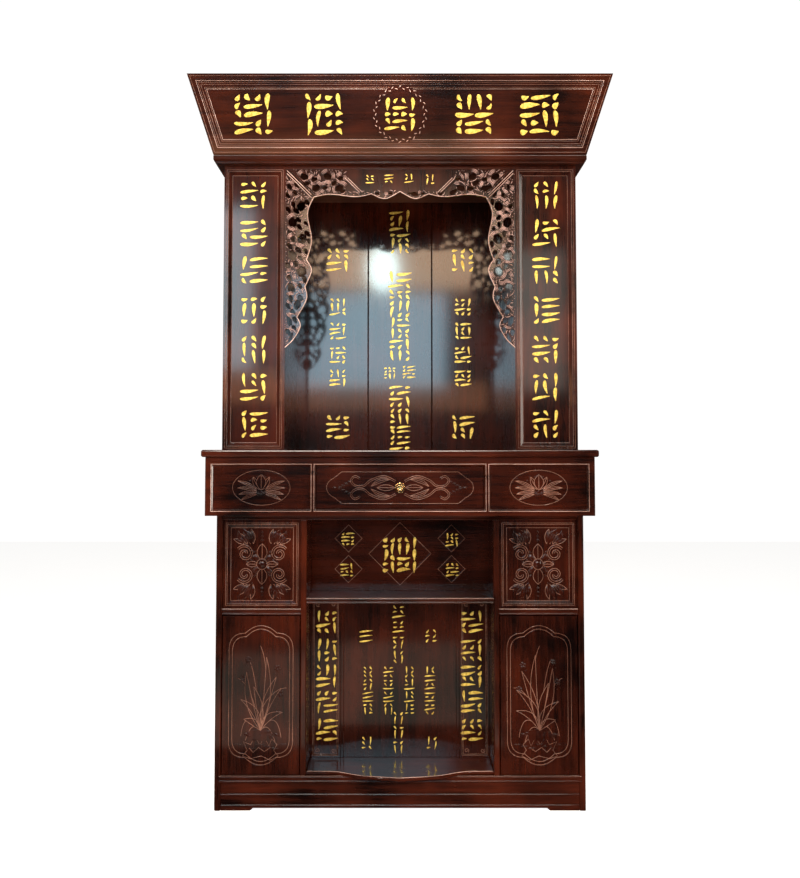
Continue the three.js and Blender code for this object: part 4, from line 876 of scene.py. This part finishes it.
def carveFringe(node, lean):
    look = fringeSet
    rng = random.Random(node)
    low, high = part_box(node)
    tree = boardTree(frame["nodes"][node].data)
    mouthHalf, headZ, faceY = fringeMouth()

    def solid(*spots):
        return all((frontOf(tree, low, spot) or 1) < faceY + 1 * mm for spot in spots)

    def kept(spot):
        across, down = mouthHalf - abs(spot.x), headZ - spot.y
        besideRod = abs(across - down) < look["rodGap"] and down < look["corner"]
        onPlate = abs(spot.x) < look["plateHalf"] + 4 * mm and spot.y > low.z + look["plateTop"]
        return not besideRod and not (onPlate and node == "fringe_top")

    cuts = []
    gap = look["holePitch"]
    for row in range(int((high.z - low.z) / gap) + 1):
        for column in range(int((high.x - low.x) / gap) + 1):
            x = low.x + (column + rng.uniform(0, 1)) * gap
            spot = Vector((x, low.z + (row + rng.uniform(0, 1)) * gap))
            clear = all((spot - Vector(cut[:2])).length > look["holeGap"] for cut in cuts)
            rays = [spot + Vector(way) * mm for way in ((0, 0), (8, 0), (-8, 0), (0, 14), (0, -14))]
            if clear and kept(spot) and solid(*rays):
                cuts.append((spot.x, spot.y, lean + rng.uniform(-0.5, 0.5), rng.uniform(22, 31) * mm))
    pierceBoard(node, cuts)
    tree = boardTree(bpy.data.objects[f"{node}_board"].data)
    holes = holesIn(tree, low, high)
    bm = bmesh.new()
    taken = []
    for middle, radius in holes:  # ribbed leaves that curl round each hole
        first = rng.uniform(0, 6)
        for j in range(3):
            angle = first + j * 2.1 + rng.uniform(-0.25, 0.25)
            outward = Vector(around(angle, 1))
            along = Vector((-outward.y, outward.x))
            for k in range(3):
                reach = radius + (3.5 + look["rib"] * k) * mm
                length = 1.75 * reach * (1 - 0.12 * k)
                bow = length ** 2 / (8 * reach)
                spot = middle + outward * (reach - bow)
                rib, end = middle + outward * reach, along * 0.42 * length
                if solid(rib, spot + end, spot - end) and kept(spot):
                    addLump(bm, uprightPlane(faceY - (0.6 * k) * mm), *spot, length, 2.8 * mm,
                            angle + math.pi / 2, (5.8 - 0.5 * k) * mm, bow=-bow, point=0.25)
                    taken.append(rib)
    plane = uprightPlane(faceY)
    for i in range(look["fillers"]):
        spot = Vector((rng.uniform(low.x, high.x), rng.uniform(low.z, high.z)))
        crowded = any((spot - other).length < look["spread"] for other in taken)
        if crowded or not solid(spot) or not kept(spot):
            continue
        taken.append(spot)
        nearest = min(holes, key=lambda hole: (hole[0] - spot).length)[0] - spot
        turn = math.atan2(nearest.y, nearest.x) + rng.uniform(-0.5, 0.5)
        tip = Vector(around(turn, 7 * mm))
        if i % 3 and solid(spot + tip, spot - tip):
            addLump(bm, plane, *spot, 17 * mm, 3.2 * mm, turn, 5.4 * mm,
                    bow=rng.uniform(-2.5, 2.5) * mm, point=0.4)
        else:
            addLump(bm, plane, *spot, 4.6 * mm, 4.2 * mm, 0, 5.2 * mm, point=0, fine=6)
    finish(f"{node}_leaves", bm, woods["carved", "z"], "carcass")


def fringeRims():
    look = fringeSet
    mouthHalf, headZ, faceY = fringeMouth()
    plane = uprightPlane(faceY)
    rims, rods = [], []
    corner, plateHalf = look["corner"], look["plateHalf"]
    pairs = [((mouthHalf - 4 * mm, headZ - 12 * mm - offset * mm),
              (mouthHalf - corner + 8 * mm, headZ - corner - offset * mm)) for offset in (-7, 3)]
    pairs += [((plateHalf + offset * mm, headZ - 30 * mm),
               (plateHalf + offset * mm - 50 * mm, headZ - 80 * mm)) for offset in (-4.5, 4.5)]
    for sign in (-1, 1):
        side = fringeCurve(look["sideEdge"], corner, look["drop"], mouthHalf, headZ, -sign)
        top = fringeCurve(look["topEdge"], mouthHalf, corner, mouthHalf, headZ, -sign)
        rims += [onPlane(plane, side, 3.6 * mm), onPlane(plane, top, 3.6 * mm)]
        for ends in pairs:
            rods.append(onPlane(plane, [Vector((sign * x, z)) for x, z in ends], 6 * mm))
    beads("fringe_rims", rims, look["rimBead"], woods["rim", "z"], "carcass", 3)
    beads("fringe_rods", rods, look["rodBead"], woods["rim", "z"], "carcass", 3)


carveFringe("fringe_left", -1.2)
carveFringe("fringe_right", -1.9)
carveFringe("fringe_top", 0.3)
fringeRims()
print("fringe carved")


# Cornice: nested mitred lines as margin and lift in the pale edge wood, two of them bright in the paler rim
# wood, all painted highlights, and leaves on the wreath in the rim wood as painted highlights
corniceSet = {"lines": [(7, 0), (22, 0), (27, -2.5), (34, -2.5), (43, -2.5), (48, -4)], "bright": (22, 48),
              "bead": 1.05 * mm, "brightBead": 0.9 * mm, "wreath": 84 * mm, "leaves": 44}


def dressCornice():
    look = corniceSet
    plane, slope = cornicePlane()
    bottomHalf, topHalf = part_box("cornice_band")[1].x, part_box("cornice_front")[1].x
    runs, bright = [], []
    for margin, lift in look["lines"]:
        low, high = margin * mm, slope - margin * mm
        halfLow = bottomHalf + (topHalf - bottomHalf) * low / slope - margin * mm
        halfHigh = bottomHalf + (topHalf - bottomHalf) * high / slope - margin * mm
        corners = [Vector((-halfLow, low)), Vector((halfLow, low)),
                   Vector((halfHigh, high)), Vector((-halfHigh, high))]
        chosen = bright if margin in look["bright"] else runs
        chosen.append(onPlane(plane, corners, lift * mm, True))
    beads("cornice_lines", runs, look["bead"], woods["edge", "x"])
    beads("cornice_lines_bright", bright, look["brightBead"], woods["rim", "x"])
    field = Plane(plane.at(0, slope / 2, -4 * mm), plane.up, plane.out)
    bm = bmesh.new()
    for i in range(look["leaves"]):
        angle = 2 * math.pi * i / look["leaves"]
        side = 1 if i % 2 else -1
        radius = look["wreath"] + side * 3.5 * mm
        sweep = math.pi / 2 if math.cos(angle) >= 0 else -math.pi / 2
        addLump(bm, field, *around(angle, radius), 14 * mm, 4 * mm, angle + sweep + side * 0.5, 4.2 * mm)
    finish("wreath_leaves", bm, woods["rim", "x"], "carcass")


dressCornice()
print("cornice dressed")


# The front edge of a board's top face, from left to right
def frontEdge(node):
    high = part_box(node)[1]
    front = {}
    for vert in frame["nodes"][node].data.vertices:
        place = frame["nodes"][node].matrix_world @ vert.co
        column = round(place.x, 4)
        if place.z > high.z - 1 * mm and place.y < front.get(column, Vector((0, high.y, 0))).y:
            front[column] = Vector((place.x, place.y + 0.4 * mm, high.z - 0.6 * mm))
    return [front[column] for column in sorted(front)]


# Recess diamonds as middle and half width in millimetres; sunk openings with their margins
edgeSet = {
    "bead": 0.95 * mm, "brightBead": 0.9 * mm,
    "diamonds": [(0, 0, 106), (-176, -52, 46), (-176, 52, 46), (176, -52, 46), (176, 52, 46)],
    "openings": [("tier_oval_front_left", 6.5 * mm), ("tier_oval_front_right", 6.5 * mm),
                 ("drawer_front", 8 * mm)],
    "fronts": ("lower_niche_shelf", "recess_shelf", "mid_rail_left", "mid_rail_right", "plinth_rail"),
}


# Thin beads round the sunk fields and diamonds in the pale edge wood, and bright ones round the openings and
# along the fronts in the paler rim wood: painted highlights
def edgeLines():
    look = edgeSet
    runs, bright = [], []
    for side in ("left", "right"):
        face, w, h = faceOf(f"pilaster_{side}")
        field = Plane(face.at(0, -3.5 * mm))
        w, h = w - 16 * mm, h - 17.5 * mm
        for grow, lift in ((1 * mm, 0), (7 * mm, 0), (-11 * mm, -7.6 * mm)):
            runs.append(onPlane(field, rectangle(w + grow, h + grow), lift, True))
    for node, grow in look["openings"]:
        tier, w, h = faceOf(node, 0, "tier_frame")
        bright.append(onPlane(tier, rectangle(w + grow, h + grow), 0, True))
    recess = faceOf("recess_back")[0]
    for across, up, half in look["diamonds"]:
        reach = (half + 0.5) * mm
        corners = [Vector((reach, 0)), Vector((0, reach)), Vector((-reach, 0)), Vector((0, -reach))]
        runs.append(onPlane(recess, [p + Vector((across, up)) * mm for p in corners], 0, True))
    for side in ("left", "right"):
        board, w, h = faceOf(f"lower_niche_board_{side}")
        w, h = w - 9 * mm, h - 9 * mm
        for grow in (0.5 * mm, -3.5 * mm):
            runs.append(onPlane(board, rectangle(w + grow, h + grow), 0, True))
        for sx in (-1, 1):
            for sz in (-1, 1):
                middle = (sx * (w - 15 * mm), sz * (h - 15 * mm))
                curl = spiral(middle, 8 * mm, 2 * mm, 0.8 * sx, 1.3 * sx * sz, 14)
                runs.append(onPlane(board, curl))
    bright += [(frontEdge(node), False) for node in look["fronts"]]
    beads("edge_lines", runs, look["bead"], woods["edge", "x"])
    beads("edge_lines_bright", bright, look["brightBead"], woods["rim", "x"])


edgeLines()
print("edges lined")


# Floor, world and studio lights
lightSet = {
    "leftBox": {"place": (-2.6, -3.0, 2.0), "aim": (0, 0, 1.2), "size": (0.4, 2.6), "power": 38},
    "rightBox": {"place": (2.8, -2.6, 1.9), "aim": (0, 0, 1.2), "size": (0.4, 2.4), "power": 52},
    "warmWindow": {"place": (0, -5.4, 3.18), "aim": (0, 0, 1.9), "size": (1.9, 0.65), "power": 43},
    "coolWindow": {"place": (-0.28, -5.4, 2.32), "aim": (-0.1, 0, 1.7), "size": (1.5, 0.95), "power": 46},
    "windowCore": {"place": (-0.17, -5.38, 3.05), "aim": (0, 0, 1.85), "size": (0.3, 0.46), "power": 15},
    "warmBand": {"place": (-0.35, -2.4, 1.55), "aim": (-0.2, 0, 1.8), "size": (1.9, 0.2), "power": 3.5},
    "floorSheen": {"place": (-0.27, -1.6, 0.02), "aim": (-0.27, -1.55, 2.0), "size": (1.35, 1.5),
                   "power": 4.2},
    "leftGlow": {"place": (-1.58, -5.4, 2.7), "aim": (-0.5, 0, 1.8), "size": (0.42, 1.5), "power": 17},
    "rightGlow": {"place": (1.28, -5.4, 2.4), "aim": (0.45, 0, 1.8), "size": (0.5, 1.3), "power": 6},
    "fill": {"place": (0, -4.4, 3.0), "aim": (0, 0, 1.2), "size": (2.8, 1.6), "power": 54},
    "topBox": {"place": (0, -2.4, 4.3), "aim": (0, -0.1, 1.8), "size": (2.8, 0.5), "power": 115},
}
lightTint = {"warmWindow": (1.0, 0.66, 0.42), "coolWindow": (0.56, 0.83, 1.0),
             "leftGlow": (0.8, 0.92, 1.0), "windowCore": (0.66, 0.96, 1.0),
             "warmBand": (1.0, 0.42, 0.2), "floorSheen": (1.0, 0.93, 0.76), "others": (1.0, 0.90, 0.80)}
worldSet = {"colour": (1.0, 0.99, 0.98, 1.0), "light": 0.06, "seen": 0.98, "gloss": 0.04}
floorSet = {"half": 9, "speck": 3.0, "stops": [(0.3, (0.9, 0.895, 0.885)), (0.7, (0.94, 0.935, 0.93))],
            "rough": 0.6, "glow": (1, 0.995, 0.985), "strength": 0.88}


def addLights():
    for name, look in lightSet.items():
        data = bpy.data.lights.new(name, "AREA")
        data.shape = "ELLIPSE" if name == "windowCore" else "RECTANGLE"
        data.size, data.size_y = look["size"]
        data.energy = look["power"]
        data.color = lightTint.get(name, lightTint["others"])
        lamp = bpy.data.objects.new(name, data)
        lamp.location = look["place"]
        aim = Vector(look["aim"]) - Vector(look["place"])
        lamp.rotation_euler = aim.to_track_quat("-Z", "Y").to_euler()
        lamp.visible_glossy = name != "fill"
        lamp.visible_camera = False
        scene.collection.objects.link(lamp)


def addWorld():
    world = bpy.data.worlds.new("studio")
    world.use_nodes = True
    scene.world = world
    tree = world.node_tree
    tree.nodes.clear()
    start = Value(tree, None)
    seen = start.out(start.node("ShaderNodeLightPath"), "Is Camera Ray")
    gloss = start.out(start.node("ShaderNodeLightPath"), "Is Glossy Ray")
    strength = worldSet["light"] + seen * worldSet["seen"] - gloss * worldSet["gloss"]
    background = start.node("ShaderNodeBackground", None, Color=worldSet["colour"], Strength=strength)
    output = start.node("ShaderNodeOutputWorld")
    tree.links.new(background.outputs[0], output.inputs[0])


def addFloor():
    bm = bmesh.new()
    bmesh.ops.create_grid(bm, x_segments=2, y_segments=2, size=floorSet["half"])
    mesh = bpy.data.meshes.new("floor")
    bm.to_mesh(mesh)
    bm.free()
    floor = bpy.data.objects.new("floor", mesh)
    scene.collection.objects.link(floor)
    material, shader, place = newMaterial("paleFloor")
    speck = noise(place, floorSet["speck"])
    ramp = place.node("ShaderNodeValToRGB", {"stops": floorSet["stops"]}, Fac=speck)
    feed(shader, "Base Color", place.out(ramp))
    shader.inputs["Roughness"].default_value = floorSet["rough"]
    shader.inputs["Emission Color"].default_value = (*floorSet["glow"], 1)
    shader.inputs["Emission Strength"].default_value = floorSet["strength"]
    mesh.materials.append(material)
    floor.visible_glossy = False


addLights()
addWorld()
addFloor()
print("studio set")
